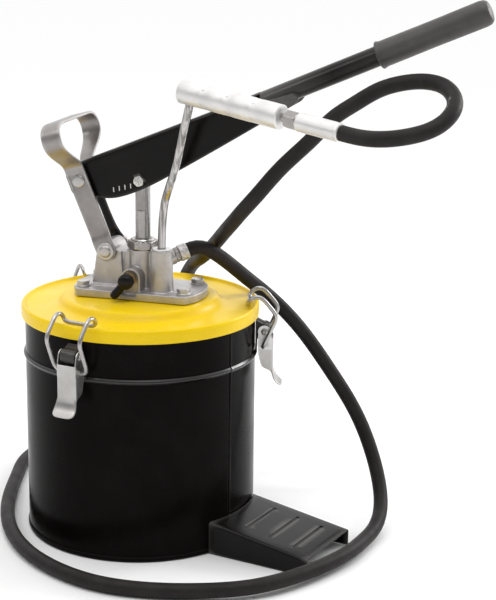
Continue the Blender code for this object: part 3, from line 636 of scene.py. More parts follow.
def hex_piece(corner, low, high, bore=0.0, turn=0.0):
    """A hexagon with its corners turned away at both ends, as on a nut or a bolt head."""
    flat = corner * math.cos(math.pi / 6)
    chamfer = (corner - flat) * 0.9
    rise = [(0.0, flat * 0.985), (chamfer * 0.25, flat + chamfer * 0.35)]
    rise += [(chamfer * 0.6, flat + chamfer * 0.75), (chamfer * 1.05, corner)]
    foot = [(r, low + h) for h, r in rise]
    head = [(r, high - h) for h, r in reversed(rise)]
    profile = [(bore, low)] + foot + head + [(bore, high)]

    def trim(angle, r, z):
        if r <= bore:
            return r
        side = (angle - turn + math.pi / 6) % (math.pi / 3) - math.pi / 6
        return min(r, flat / math.cos(side))

    return lathe(profile, 72, shape=trim)


def smooth_curve(points, step):
    """A natural cubic spline through the points, read about every step."""
    p = np.array(points, float)
    t = np.concatenate([[0], np.cumsum(np.linalg.norm(np.diff(p, axis=0), axis=1))])
    h = np.diff(t)
    n = len(p)
    a = np.eye(n)
    b = np.zeros((n, p.shape[1]))
    for i in range(1, n - 1):
        a[i, i - 1 : i + 2] = h[i - 1], 2 * (h[i - 1] + h[i]), h[i]
        b[i] = 6 * ((p[i + 1] - p[i]) / h[i] - (p[i] - p[i - 1]) / h[i - 1])
    m = np.linalg.solve(a, b)
    at = np.linspace(0, t[-1], max(2, round(t[-1] / step) + 1))
    k = np.clip(np.searchsorted(t, at, side="right") - 1, 0, n - 2)
    left = (t[k + 1] - at)[:, None]
    right = (at - t[k])[:, None]
    span = h[k][:, None]
    out = (m[k] * left**3 + m[k + 1] * right**3) / (6 * span)
    out += (p[k] / span - m[k] * span / 6) * left + (p[k + 1] / span - m[k + 1] * span / 6) * right
    return [Vector(q) for q in out]


def distances(path):
    """How far along the path each of its points is."""
    far = [0.0]
    for a, b in zip(path, path[1:]):
        far.append(far[-1] + (b - a).length)
    return far


def heading(path, k):
    return (path[min(k + 1, len(path) - 1)] - path[max(k - 1, 0)]).normalized()


def tube(path, radius, sides, rounded=0.0):
    """A round bar along a path, its ends flat or eased; UV is metres along and turns around."""
    path = [Vector(p) for p in path]
    bm = bmesh.new()
    uv = bm.loops.layers.uv.new("along")
    normal = None
    rings = []
    far = distances(path)
    for k, point in enumerate(path):
        way = heading(path, k)
        if normal is None:
            normal = way.orthogonal().normalized()
        normal = (normal - way * normal.dot(way)).normalized()
        across = way.cross(normal)
        end = min(far[k], far[-1] - far[k])
        size = radius
        if end < rounded:
            size = radius * max(0.55, math.sqrt(max(0.0, 1 - (1 - end / rounded) ** 2)))
        turns = [2 * math.pi * i / sides for i in range(sides)]
        spots = [normal * math.cos(t) + across * math.sin(t) for t in turns]
        rings.append([bm.verts.new(point + size * spot) for spot in spots])
    for k in range(len(rings) - 1):
        for i in range(sides):
            j = (i + 1) % sides
            face = bm.faces.new((rings[k][i], rings[k][j], rings[k + 1][j], rings[k + 1][i]))
            marks = ((k, i), (k, i + 1), (k + 1, i + 1), (k + 1, i))
            for loop, (row, turn) in zip(face.loops, marks):
                loop[uv].uv = (far[row], turn / sides)
    bm.faces.new(list(reversed(rings[0])))
    bm.faces.new(rings[-1])
    return bm


def pressed(name, stations, place, fold, thickness, material, columns=8, matrix=None, edge=0.0004):
    """A channel bent from sheet: a web with a side folded down each way.

    Each station is (web point, lower end of the side, half width), both points in the side's
    plane. place(u, v, across) makes them into a world point on the sheet's outer surface.
    """
    bm = bmesh.new()
    rows = []
    for (u, v), (lower_u, lower_v), half in stations:
        down = Vector((lower_u - u, lower_v - v))
        deep = down.length
        down /= deep
        bend = min(fold, deep * 0.8)
        side = [(half, deep + (bend - deep) * k / columns) for k in range(columns)]
        for a in np.linspace(0, math.pi / 2, 7):
            side.append((half - bend + bend * math.cos(a), bend - bend * math.sin(a)))
        web = [((half - bend) * (1 - 2 * k / columns), 0.0) for k in range(1, columns)]
        section = side + web + [(-y, d) for y, d in reversed(side)]
        spots = [place(u + down.x * d, v + down.y * d, y) for y, d in section]
        rows.append([bm.verts.new(spot) for spot in spots])
    for low, high in zip(rows, rows[1:]):
        for i in range(len(low) - 1):
            bm.faces.new((low[i], low[i + 1], high[i + 1], high[i]))
    obj = add(name, bm, material, matrix)
    middle = obj.data.polygons[len(obj.data.polygons) // 2]
    outward = Vector(place(*stations[0][0], 0.0)) - Vector(place(*stations[0][1], 0.0))
    if middle.normal.dot(outward) < 0:
        obj.data.flip_normals()
    sheet = obj.modifiers.new("sheet", "SOLIDIFY")
    sheet.thickness = thickness
    sheet.offset = -1
    settle(obj)
    return bevel(obj, edge, 50) if edge else obj


def part(name, bm, material, body, slot, matrix=None, sharp=34.0):
    """A piece that needs no more cutting and stands for the node of its own name."""
    return stand_for(add(name, bm, material, matrix, sharp), body, slot, name)


def stand_for(piece, body, slot, *nodes):
    """piece rides on a body and stands for the nodes; slot is not used."""
    if body:
        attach(piece, body)
    if nodes:
        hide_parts(*nodes)
    return piece


def paint_faces(piece, material, chosen):
    """A second material on the faces whose centres are chosen."""
    piece.data.materials.append(material)
    for face in piece.data.polygons:
        if chosen(face.center):
            face.material_index = 1


# ---- hose and its ends ----


def hose_path(step):
    middle = smooth_curve(HOSE_ROUTE, step)
    first, last = middle[0], middle[-1]
    return [first + OUTLET_WAY * 0.0006] + middle[1:-1] + [last + VALVE_WAY * 0.0006]


def make_hose():
    path = hose_path(0.0055)
    hose = add("hose", tube(path, HOSE_R, 24), HOSE_RUBBER, sharp=60)
    stand_for(hose, None, "hose_rubber", "hose")
    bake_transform(hose)


def knurled(radius, length, depth=0.0006, count=14, rows=3):
    """A collar with small staggered dents, as a crimping tool leaves."""
    levels = np.linspace(0, length, rows * 4 + 1)
    profile = [(0, 0)] + [(radius, z) for z in levels] + [(0, length)]

    def dent(angle, r, z):
        if not 1e-6 < z < length - 1e-6:
            return r - depth
        row = z / (length / rows)
        wave = math.cos(angle * count + math.pi * math.floor(row))
        return r - depth * max(0.0, wave) * abs(math.sin(math.pi * row))

    return lathe(profile, count * 6, shape=dent)


def make_outlet():
    """The hexagon fitting at the head, then the crimped ferrule, which is handed back."""
    place = along(OUTLET_START + OUTLET_WAY * GAP, OUTLET_WAY)
    hexagon = 0.005
    part("outlet_fitting", hex_piece(0.0084, 0, hexagon), STEEL, "pump", "steel", place)
    place = shifted(place, hexagon + GAP)
    length = (Vector(HOSE_ROUTE[0]) - place.translation).length - GAP
    collar = knurled(0.0092, length)
    return part("outlet_ferrule", collar, CRIMPED, "pump", "turned_aluminium", place)


def make_nozzle():
    x, y = TOWER
    line = [(x, y, 0.2982), (x, y, 0.306), (x, y, 0.317), (0.0305, -0.0174, 0.329)]
    line += [(0.0315, -0.0182, 0.345), (0.0331, -0.0194, 0.3575), (0.0352, -0.0209, 0.368)]
    line += [(0.0392, -0.024, 0.379), (0.049, -0.0313, 0.403), (0.0596, -0.0395, 0.4362)]
    line += [(0.0709, -0.048, 0.4756), (0.0731, -0.0497, 0.4833)]
    bar = tube(smooth_curve(line, 0.0022), 0.0043, 28, 0.0008)
    part("nozzle_tube", bar, CHROME, "nozzle", "chrome", sharp=50)
    place = along(VALVE_START, VALVE_WAY)
    make_valve_handle(place)

    at = VALVE_LENGTH + GAP
    neck = lathe(chamfered(0.0042, 0, 0.0052, 0.0003), 40)
    part("valve_neck", neck, STEEL, "nozzle", "steel", shifted(place, at))
    at += 0.0052 + GAP
    nut = hex_piece(0.0095, 0, 0.013, turn=math.radians(20))
    part("swivel_nut", nut, STEEL, "nozzle", "steel", shifted(place, at))
    at += 0.013 + GAP
    hose_end = (Vector(HOSE_ROUTE[-1]) - VALVE_START).length
    return make_hose_ferrule(shifted(place, at), hose_end - at - GAP)


def make_valve_handle(place):
    """A turned bar with three shallow bands and two small pits in each."""
    r = VALVE_R
    pit_depth = 0.0007
    bands = [VALVE_LENGTH * share for share in (0.26, 0.5, 0.76)]
    body = soften([(0, 0), (r - 0.0006, 0), (r, 0.001)], 0.0003, 3, False)
    for z in bands:
        body += [(r, z - 0.0056), (r - 0.00025, z - 0.0051)]
        body += [(r - 0.00025, z + 0.0051), (r, z + 0.0056)]
    end = [(r, VALVE_LENGTH - 0.0014), (r - 0.0014, VALVE_LENGTH), (0, VALVE_LENGTH)]
    body += soften(end, 0.0004, 3, False)
    handle = add("valve_handle", lathe(body, 96), SATIN, place)
    pits = []
    for z in bands:
        for a in (math.radians(-80), math.radians(-150)):
            way = place.to_3x3() @ Vector((math.cos(a), math.sin(a), 0))
            start = place @ Vector((0, 0, z)) + way * (r - pit_depth)
            pits.append(drill(0.0014, start, way, 0.003, 16))
    carve(handle, pits)
    stand_for(handle, "nozzle", "turned_aluminium", "valve_handle")


def make_hose_ferrule(place, length):
    shell = [(0, 0), (0.0086, 0), (0.0095, 0.0022), (0.0095, length - 0.005)]
    groove = [(0.0091, length - 0.0046), (0.0091, length - 0.0036), (0.0095, length - 0.0032)]
    end = [(0.0095, length - 0.001), (0.0086, length), (0, length)]
    profile = soften(shell, 0.0005, 3, False)
    profile += soften(groove, 0.0002, 2, False) + soften(end, 0.0004, 3, False)

    def flatted(angle, radius, z):
        """Eight shallow flats where the crimping jaws pressed."""
        if radius < 0.0092 or not 0.003 < z < length - 0.005:
            return radius
        side = (angle + math.pi / 8) % (math.pi / 4) - math.pi / 8
        return min(radius, 0.00905 / math.cos(side))

    body = lathe(profile, 96, shape=flatted)
    return part("hose_ferrule", body, SATIN, "nozzle", "turned_aluminium", place)


# ---- pail, lid and step ----


def make_pail():
    wall = PAIL_R - PAIL_WALL
    rim = PAIL_RIM_Z
    bead = PAIL_R + 0.0024
    outside = [(0, 0.0006), (0.1195, 0.0006), (0.1215, 0.0), (0.1252, 0.0), (0.1262, 0.0012)]
    outside += [(0.1262, 0.0052), (0.125, 0.0066)]
    outside += [(PAIL_R, z) for z in (0.009, 0.05, 0.1, 0.15, BEAD_Z - 0.0034)]
    outside += [(bead, BEAD_Z - 0.0008), (bead, BEAD_Z + 0.0008)]
    outside += [(PAIL_R, z) for z in (BEAD_Z + 0.0034, 0.22, rim - 0.006)]
    outside += [(0.1272, rim - 0.0045), (0.1275, rim - 0.002), (0.1262, rim), (0.1245, rim)]
    inside = [(wall, rim - 0.002), (wall, BEAD_Z + 0.0026), (wall + 0.0018, BEAD_Z)]
    inside += [(wall, BEAD_Z - 0.0026), (wall, 0.1), (wall, 0.003)]
    inside += [(wall - 0.002, 0.0014), (0, 0.0014)]
    profile = soften(outside + inside, 0.0009, 3, False)

    def off_seam(angle):
        return math.degrees((angle - SEAM_ANGLE + math.pi) % (2 * math.pi) - math.pi)

    fine = [SEAM_ANGLE + math.radians(d) for d in np.linspace(-1.4, 1.4, 15)]
    rest = [2 * math.pi * k / 220 for k in range(220)]
    spaced = [a for a in rest if abs(off_seam(a)) > 1.9]
    angles = sorted([a % (2 * math.pi) for a in fine] + spaced)

    def seam(angle, r, z):
        """A lapped joint down the wall: a small step with a line beside it."""
        off = off_seam(angle)
        if r < wall + 0.0005 or not 0.0075 < z < rim - 0.006:
            return r
        groove = 0.0007 * math.exp(-((off / 0.28) ** 2))
        lap = 0.0003 * math.exp(-(((off - 0.8) / 0.5) ** 2))
        return r - groove + lap

    pail = add("bucket", lathe(profile, angles=angles, shape=seam), PAIL_PAINT, sharp=40)
    paint_faces(pail, RUBBED_PAINT, on_bead)
    stand_for(pail, "pump", "black_paint", "bucket")


def on_bead(spot):
    return abs(spot.z - BEAD_Z) < 0.0026 and spot.xy.length > PAIL_R + 0.0004


def make_lid():
    top = [(LID_R, 0.2398), (LID_R, 0.25), (0.1284, 0.2528), (0.1266, 0.2543), (0.1249, 0.2534)]
    top += [(0.1226, 0.2507), (0.108, 0.2511), (0.0925, 0.2516), (0.0882, 0.2534), (0.0842, 0.2588)]
    top += [(PLATEAU_R, PLATEAU_Z), (0.05, PLATEAU_Z + 0.0003), (LID_HOLE_R, PLATEAU_Z + 0.0004)]
    under = [(LID_HOLE_R, PLATEAU_Z + 0.0004 - LID_SHEET), (0.0806, 0.2596), (0.0832, 0.258)]
    under += [(0.087, 0.2526), (0.0918, 0.2506), (0.123, 0.2497), (0.1249, 0.251), (0.1256, 0.2524)]
    under += [(0.1266, 0.2531), (0.128, 0.2502), (0.128, 0.2398)]
    body = lathe(soften(top + under, 0.0028, 5), 240)
    part("lid", body, YELLOW_PAINT, "pump", "yellow_paint", sharp=44)


def make_footrest():
    """A step pressed from sheet, falling away from the pail, with three long grooves."""
    turn = Matrix.Rotation(FOOT_TURN, 4, "Z")
    wall = 0.1263
    fall = 0.018 / 0.112
    groove_r, groove_half = 0.002, 0.031

    def top_of(u):
        return 0.0375 - (u - 0.118) * fall

    def place(u, v, across):
        """The inner end follows the pail's round wall."""
        edge = math.sqrt(wall**2 - across**2)
        share = (u - wall) / (FOOT_OUT - wall)
        return Vector((edge + (FOOT_OUT - edge) * share, across, v))

    spots = np.linspace(wall, FOOT_OUT, 15)
    stations = [((u, top_of(u)), (u, 0.0002), FOOT_HALF) for u in spots]
    step = pressed("footrest", stations, place, 0.0032, FOOT_SHEET, BLACK_PAINT, 10, turn, 0.0005)
    grooves = []
    bar = arc((0, groove_half), groove_r, 0, 180, 8)
    bar += mirrored(bar)
    for centre in (0.1535, 0.1815, 0.2105):
        lie = moved(centre, 0, top_of(centre)) @ Matrix.Rotation(math.atan(fall), 4, "Y")
        grooves.append(add("groove", prism(bar, -0.0011, 0.01), BLACK_PAINT, turn @ lie))
    carve(step, grooves)
    stand_for(step, "pump", "black_paint", "footrest")


# ---- latches ----


def make_latch(number, angle):
    turn = Matrix.Rotation(math.radians(angle), 4, "Z")
    r, z = LATCH_PIVOT
    br, bz = BAIL_PIVOT
    inner = PAIL_R + 0.0008

    side = [(inner, 0.203), (inner + 0.0016, 0.203), (inner + 0.0016, 0.215), (0.1375, 0.2165)]
    side += arc((r, z), 0.0075, -60, 100, 16)
    side += [(inner + 0.0016, 0.235), (inner, 0.235)]
    block = prism(soften(side, 0.0012, 3), -0.0086, 0.0086, "XZ")
    base = add(f"latch_base_{number}", block, BLACK_PAINT, turn)
    bevel(base, 0.0004)
    stand_for(base, "pump", "black_paint", f"latch_base_{number}")

    def place(u, v, across):
        return Vector((u, across, v))

    front = [(0.1449, 0.2165), (0.1449, 0.21), (0.1449, 0.199), (0.1449, 0.19), (0.1449, 0.1838)]
    front += [(0.145, 0.1805), (0.1455, 0.1768), (0.1468, 0.173), (0.1487, 0.1697), (0.1512, 0.1669)]
    front += [(0.1535, 0.1652), (0.155, 0.1645)]
    inward = [(0.1287, 0.215), (0.1287, 0.208), (0.1294, 0.1975), (0.1313, 0.1893), (0.1348, 0.1836)]
    inward += [(0.1425, 0.1797), (0.1442, 0.1764), (0.1455, 0.1725), (0.1475, 0.169), (0.1502, 0.166)]
    inward += [(0.1527, 0.1642), (0.1543, 0.1634)]
    half = [0.0114] * 5 + [0.0116, 0.0121, 0.0128, 0.0132, 0.013, 0.0112, 0.008]
    line = smooth_curve([(*f, *i, h) for f, i, h in zip(front, inward, half)], 0.0014)
    stations = [((p[0], p[1]), (p[2], p[3]), p[4]) for p in line]
    lever = pressed(f"latch_lever_{number}", stations, place, 0.002, 0.0012, ZINC, 6, turn, 0.0)
    ear = arc((r, z), 0.0068, 200, 20, 12)
    ear += [(0.144, 0.216), (0.144, 0.204), (0.129, 0.204), (0.1288, 0.216)]
    ears = [add("ear", slab(ear, side, 0.0102, 0.0114), ZINC, turn) for side in (-1, 1)]
    carve(lever, ears, "UNION")
    stand_for(lever, f"latch_lever_{number}", "zinc_plate", f"latch_lever_{number}")

    arm = [(br, 0.0098, bz), (br, 0.015, bz), (br + 0.0006, 0.0184, bz + 0.0022)]
    arm += [(br + 0.0026, 0.0198, bz + 0.007), (0.144, 0.02, 0.23), (0.1478, 0.02, 0.239)]
    arm += [(0.1483, 0.02, 0.2437), (0.1462, 0.02, 0.2486), (0.1402, 0.02, 0.2558)]
    arm += [(0.1345, 0.02, 0.2621), (0.13, 0.02, 0.2647), (0.125, 0.02, 0.2644)]
    arm += [(0.1208, 0.02, 0.262), (0.1185, 0.0198, 0.2588), (0.118, 0.0184, 0.2557)]
    arm += [(0.118, 0.015, 0.2544)]
    loop = arm + [(0.118, 0.0, 0.2544)] + [(x, -y, h) for x, y, h in reversed(arm)]
    wire = smooth_curve(soften(loop, 0.004, 3, False), 0.0016)
    name = f"latch_bail_{number}"
    part(name, tube(wire, BAIL_WIRE_R, 18, 0.0006), BRIGHT_WIRE, name, "zinc_plate", turn, 60)

    length = 0.024
    head = [(0, 0.0017), (0.0022, 0.0016), (0.0033, 0.0009), (0.0035, 0), (0.002, 0)]
    profile = [(x, -h) for x, h in head] + [(x, length + h) for x, h in reversed(head)]
    lie = turn @ along((r, -length / 2, z), BACK)
    part(f"latch_pin_{number}", lathe(profile, 32), STEEL, "pump", "steel", lie)


# ---- pump head ----


def flange_outline():
    ends = [(0.062, 0.037), (0.069, 0.025), (0.073, 0.009)]
    right = ends + mirrored(ends)
    return right + [(-x + 0.002, -y) for x, y in right]


def arch_outline(half):
    """A doorway shape: straight sides and a round top."""
    spring = 0.2838
    top = arc((0.0, spring), half, 8, 172, 16)
    return [(half, 0.266), (half, spring)] + top + [(-half, spring), (-half, 0.266)]


def make_head():
    """The casting, joined from rough solids, then skinned over so that every corner is filleted."""
    flange = prism(soften(flange_outline(), 0.0025, 3), FLANGE_Z0 - 0.0015, FLANGE_Z1)
    head = add("pump_head", flange, CAST)
    web = [(-0.03, -0.0118), (0.032, -0.0118), (0.032, 0.013), (-0.03, 0.013)]
    lug = [(-0.0505, 0.266), (-0.013, 0.266), (-0.0165, 0.309)]
    lug += arc((LINK_LOW.x, LINK_LOW.z), 0.0102, 10, 172, 12) + [(-0.0445, 0.305)]
    tower_end = TOWER_TOP_Z - 0.001
    tower = [(0, 0.266), (0.0142, 0.266), (0.0128, 0.272), (0.0118, tower_end), (0, tower_end)]
    gland = [(0, 0.266), (0.0178, 0.266), (0.0166, 0.275), (0.0162, HEAD_TOP_Z), (0, HEAD_TOP_Z)]
    pad = [(-0.055, -0.019), (-0.012, -0.019), (-0.012, 0.019), (-0.055, 0.019)]
    port_length = 0.0165
    port = along(OUTLET_START - OUTLET_WAY * port_length, OUTLET_WAY)
    spigot = [(0, 0.252), (0.0255, 0.252), (0.0255, 0.265), (0, 0.265)]
    joined = [
        add("web", prism(web, 0.266, 0.3085), CAST),
        add("lug", prism(lug, -0.0165, 0.0165, "XZ"), CAST),
        add("pad", prism(soften(pad, 0.003, 3), 0.266, FLANGE_Z1 + 0.0022), CAST),
        add("tower", lathe(tower, 64), CAST, moved(*TOWER)),
        add("gland", lathe(gland, 64), CAST, AT_ROD),
        add("arch", prism(arch_outline(0.0108), -0.03, 0.0, "XZ"), CAST, moved(-0.001)),
        add("port", rod(0.0087, port_length, 40), CAST, port),
        add("spigot", lathe(spigot, 64), CAST),
    ]
    for x, y in HEAD_BOLTS:
        joined.append(add("boss", rod(0.0098, 0.005), CAST, moved(x, y, FLANGE_Z1 - 0.0045)))
    carve(head, joined, "UNION")
    bore = ROD_R + 0.0009
    bores = [(0, 0.24), (bore, 0.24), (bore, 0.2967), (0.0131, 0.2967), (0.0131, 0.33), (0, 0.33)]
    cuts = [
        add("bore", lathe(bores, 48), CAST, AT_ROD),
        drill(0.0047, (*TOWER, 0.26), (0, 0, 1), 0.07),
        cross_drill(0.005, LINK_LOW, 0.03),
        drill(0.004, (-0.001, -0.04, 0.2835), BACK, 0.02),
        add("door", prism(arch_outline(0.0084), -0.04, -0.027, "XZ"), CAST, moved(-0.001)),
    ]
    cuts += [drill(0.0037, (x, y, 0.245), (0, 0, 1), 0.04) for x, y in HEAD_BOLTS]
    carve(head, cuts)
    skin = head.modifiers.new("skin", "REMESH")
    skin.mode = "VOXEL"
    skin.voxel_size = SKIN_STEP
    ease = head.modifiers.new("ease", "SMOOTH")
    ease.factor = 0.5
    ease.iterations = 4
    settle(head, 180)
    stand_for(head, "pump", "cast_aluminium", "pump_head")

    ring = lathe(chamfered(0.01, 0, 0.0018, 0.0005, 0.0047), 56)
    collar = add("socket_collar", ring, SATIN, moved(*TOWER, TOWER_TOP_Z - 0.0012))
    stand_for(collar, "pump", "turned_aluminium")


def make_head_bolts():
    for number, (x, y) in enumerate(HEAD_BOLTS, 1):
        place = moved(x, y, FLANGE_Z1 + GAP)
        washer = chamfered(0.0082, 0.0003, 0.0016, 0.0003)
        shank = [(0, -0.0205), (0.0026, -0.0205), (0.003, -0.02), (0.003, 0.0003)] + washer[1:]
        bolt = add(f"head_bolt_{number}", lathe(shank, 48), ZINC, place)
        hexagon = hex_piece(0.0074, 0.0014, 0.006, turn=math.radians(17 * number))
        carve(bolt, add("head", hexagon, ZINC, place), "UNION")
        stand_for(bolt, "pump", "zinc_plate", f"head_bolt_{number}")


def make_gland():
    bore = ROD_R + 0.0005
    hexagon = hex_piece(0.01725, HEAD_TOP_Z + GAP, 0.3207, bore, math.radians(-10))
    nut = add("gland_nut", hexagon, STEEL, AT_ROD)
    ring = [(bore, 0.319), (0.013, 0.319), (0.013, 0.3214), (0.012, 0.3226)]
    ring += [(bore + 0.001, 0.3226), (bore, 0.3216)]
    carve(nut, add("ring", lathe(ring, 64), STEEL, AT_ROD), "UNION")
    stand_for(nut, "pump", "steel", "gland_nut")


def make_cock():
    centre = Vector((-0.001, -0.031 - GAP, 0.2835))
    front = centre + Vector((0, -0.006 - GAP, 0))
    body = lathe(chamfered(0.007, 0, 0.006, 0.0005), 40)
    part("cock_body", body, BRASS, "pump", "brass", along(centre, -BACK))
    cap = [(0, 0), (0.007, 0), (0.0083, 0.002), (0.0083, 0.009)]
    cap += [(0.0066, 0.0116), (0.003, 0.0127), (0, 0.0128)]
    button = lathe(soften(cap, 0.0012, 3, False), 48)
    knob = add("cock_knob", button, BLACK_PLASTIC, along(front, -BACK))
    arm = [(0, 0), (0.004, 0), (0.0046, 0.013), (0.0046, 0.019), (0.0036, 0.0226), (0, 0.023)]
    lie = along(front - BACK * 0.0065, (-0.62, -0.1, -0.78))
    stem = lathe(soften(arm, 0.0012, 3, False), 32)
    carve(knob, add("stem", stem, BLACK_PLASTIC, lie), "UNION")
    stand_for(knob, "cock", "black_plastic", "cock_knob")


# ---- rod, lever and carrying handle ----


def in_lever(u, v, across=0.0):
    """A point of the lever's own plane, along and across it, in the world."""
    c, s = math.cos(LEVER_TILT), math.sin(LEVER_TILT)
    return Vector((LEVER_PIN.x + u * c - v * s, across, LEVER_PIN.z + u * s + v * c))


def make_rod():
    shoulder = 0.112 + GAP
    shaft = [(0, 0.092), (0.0055, 0.092), (0.0055, shoulder)]
    shaft += [(ROD_R, z) for z in (shoulder, 0.2, 0.3, 0.3972)]
    shaft += [(ROD_R - 0.0008, 0.398), (0, 0.398)]
    body = add("piston_rod", lathe(shaft, 64), ROD_STEEL, AT_ROD)
    flat = [(-0.02, 0.353), (0.02, 0.353), (0.02, 0.41), (-0.02, 0.41)]
    cuts = [add("flat", slab(flat, side, 0.0062, 0.02), ROD_STEEL, AT_ROD) for side in (-1, 1)]
    cuts.append(cross_drill(0.0043, LEVER_PIN, 0.02))
    carve(body, cuts)
    stand_for(body, "rod", "steel", "piston_rod")


def make_lever_marks():
    """Four short slanting bars, standing a little proud of the near cheek."""
    lean = Vector((0.3, 0.95)) * 0.0026
    across = Vector((0.95, -0.3)) * 0.00055
    marks = bmesh.new()
    for k in range(4):
        spot = Vector((-0.0115 - 0.0066 * k, -0.002 + 0.0008 * k))
        outline = [spot - lean - across, spot - lean + across]
        outline += [spot + lean + across, spot + lean - across]
        depths = (-CHANNEL_HALF + 0.0002, -CHANNEL_HALF - 0.00025)
        loft([[in_lever(*q, depth) for q in outline] for depth in depths], marks)
    stand_for(add("lever_marks", marks, STEEL), "lever", "zinc_plate")


def make_lever():
    """The bent-sheet channel and its marks, the tube set into it, and the grip."""
    bottom = [(-0.078, 0.013), (-0.074, 0.0065), (-0.054, -0.0005), (-0.042, -0.006)]
    bottom += [(-0.029, -0.0092), (-0.015, -0.01), (0.0, -0.0096), (0.016, -0.0082)]
    bottom += [(0.0296, -0.0063), (0.152, 0.0142)]
    top = [(-0.0785, 0.033), (-0.074, 0.038), (-0.055, 0.0405), (0.11, 0.0425)]
    top += [(0.153, 0.044)]

    def height(line, u):
        return float(np.interp(u, [p[0] for p in line], [p[1] for p in line]))

    lower = smooth_curve(bottom, 0.002)
    stations = []
    for u in np.concatenate([np.linspace(-0.078, 0.035, 46), np.linspace(0.04, 0.1525, 26)]):
        stations.append(((u, height(top, u)), (u, height(lower, u)), CHANNEL_HALF))
    body = pressed("lever_channel", stations, in_lever, 0.0042, CHANNEL_T, BLACK_PAINT, 10)

    tail = [(0.15, 0.0138), (0.19, 0.0205), (0.195, 0.0232), (0.1962, 0.027)]
    tail += [(0.194, 0.031), (0.19, 0.033), (0.168, 0.034), (0.159, 0.035)]
    tail += [(0.1545, 0.039), (0.15, 0.0395)]
    flat = [tuple(in_lever(u, v).xz) for u, v in soften(tail, 0.002, 3)]
    cheeks = []
    for side in (-1, 1):
        cheek = slab(flat, side, CHANNEL_HALF - CHANNEL_T, CHANNEL_HALF)
        cheeks.append(add("cheek", cheek, BLACK_PAINT))
    carve(body, cheeks, "UNION")
    carve(body, [cross_drill(0.0043, LEVER_PIN, 0.02), cross_drill(0.0066, LINK_TOP, 0.02)])
    bevel(body, 0.0004, 50)
    stand_for(body, "lever", "black_paint", "lever_channel")
    make_lever_marks()

    frame_of_tube = along(in_lever(*TUBE_START), (math.cos(TUBE_TILT), 0, math.sin(TUBE_TILT)))
    bore = TUBE_R - 0.002
    pipe = [(bore, 0), (TUBE_R - 0.0004, 0)]
    pipe += [(TUBE_R, z) for z in (0.0004, 0.08, 0.16, 0.24)] + [(bore, 0.24)]
    part("lever_tube", lathe(pipe, 64), BLACK_PAINT, "lever", "black_paint", frame_of_tube)

    outer = [(TUBE_R + GAP, 0.1302), (0.0139, 0.1302), (0.0145, 0.1308), (0.0145, 0.1322)]
    outer += [(0.0139, 0.133), (GRIP_R + 0.0001, 0.135), (GRIP_R, 0.145)]
    outer += [(GRIP_R - 0.0003, 0.19), (GRIP_R, 0.242)]
    outer += [(0.0127, 0.2468), (0.0103, 0.2498), (0.006, 0.251), (0, 0.2511)]
    inner = [(0, 0.244), (TUBE_R + GAP, 0.244)]
    cover = lathe(soften(outer, 0.0009, 4, False) + inner, 72)
    part("lever_grip", cover, GRIP_RUBBER, "lever", "grey_rubber", frame_of_tube)


def strap_line():
    """The strap's middle line in its own plane: sideways, and distance up the link."""
    foot = LINK_Y + 0.0015
    leg = [(foot, -0.011), (foot, 0.013), (LINK_Y, 0.0185), (LINK_Y, 0.0935)]
    neck = [(0.02, 0.0975), (0.0245, 0.102), (0.04, 0.111), (0.0495, 0.1175)]
    corner = [(0.0545, 0.124), (0.0555, 0.1315), (0.0535, 0.1385)]
    corner += [(0.0475, 0.144), (0.0385, 0.146)]
    half = leg + neck + corner
    return half + [(-y, u) for y, u in reversed(half)]


def share_between(value, low, high):
    return min(1.0, max(0.0, (value - low) / (high - low)))


def strap_half(sideways, along_link):
    """Half the strap's width here: the back leg is the narrower one, with a waist."""
    if sideways < 0:
        return STRAP_W / 2
    widening = share_between(along_link, 0.0975, 0.1245)
    middle = math.sin(math.pi * share_between(along_link, 0.008, 0.074))
    waist = WAIST_DEPTH * max(0.0, middle) ** 0.5
    return BACK_LEG_HALF - waist + (STRAP_W / 2 - BACK_LEG_HALF) * widening


def on_link(sideways, along_link, across):
    """A point of the strap in the world; past the bend, the hand loop stands more upright."""
    upright = Matrix.Rotation(RING_LEAN, 3, "Y") @ LINK_UP
    share = share_between(along_link, RING_BEND - 0.006, RING_BEND + 0.006)
    local = LINK_UP.lerp(upright, share).normalized()
    base = LINK_LOW + LINK_UP * min(along_link, RING_BEND)
    base += upright * max(0.0, along_link - RING_BEND) + BACK * sideways
    return base + Vector((local.z, 0, -local.x)) * across


def bolt_recess():
    """The shallow square round the upper bolt, on the front leg's outer face."""
    square = [(0.0088, 0.0088), (-0.0088, 0.0088), (-0.0088, -0.0088), (0.0088, -0.0088)]
    width_way = Vector((LINK_UP.z, 0, -LINK_UP.x))
    spots = [LINK_TOP + LINK_UP * v + width_way * u for u, v in soften(square, 0.0022, 4)]
    face = LINK_Y + STRAP_T / 2
    return slab([tuple(spot.xz) for spot in spots], -1, face - 0.0005, face + 0.004)


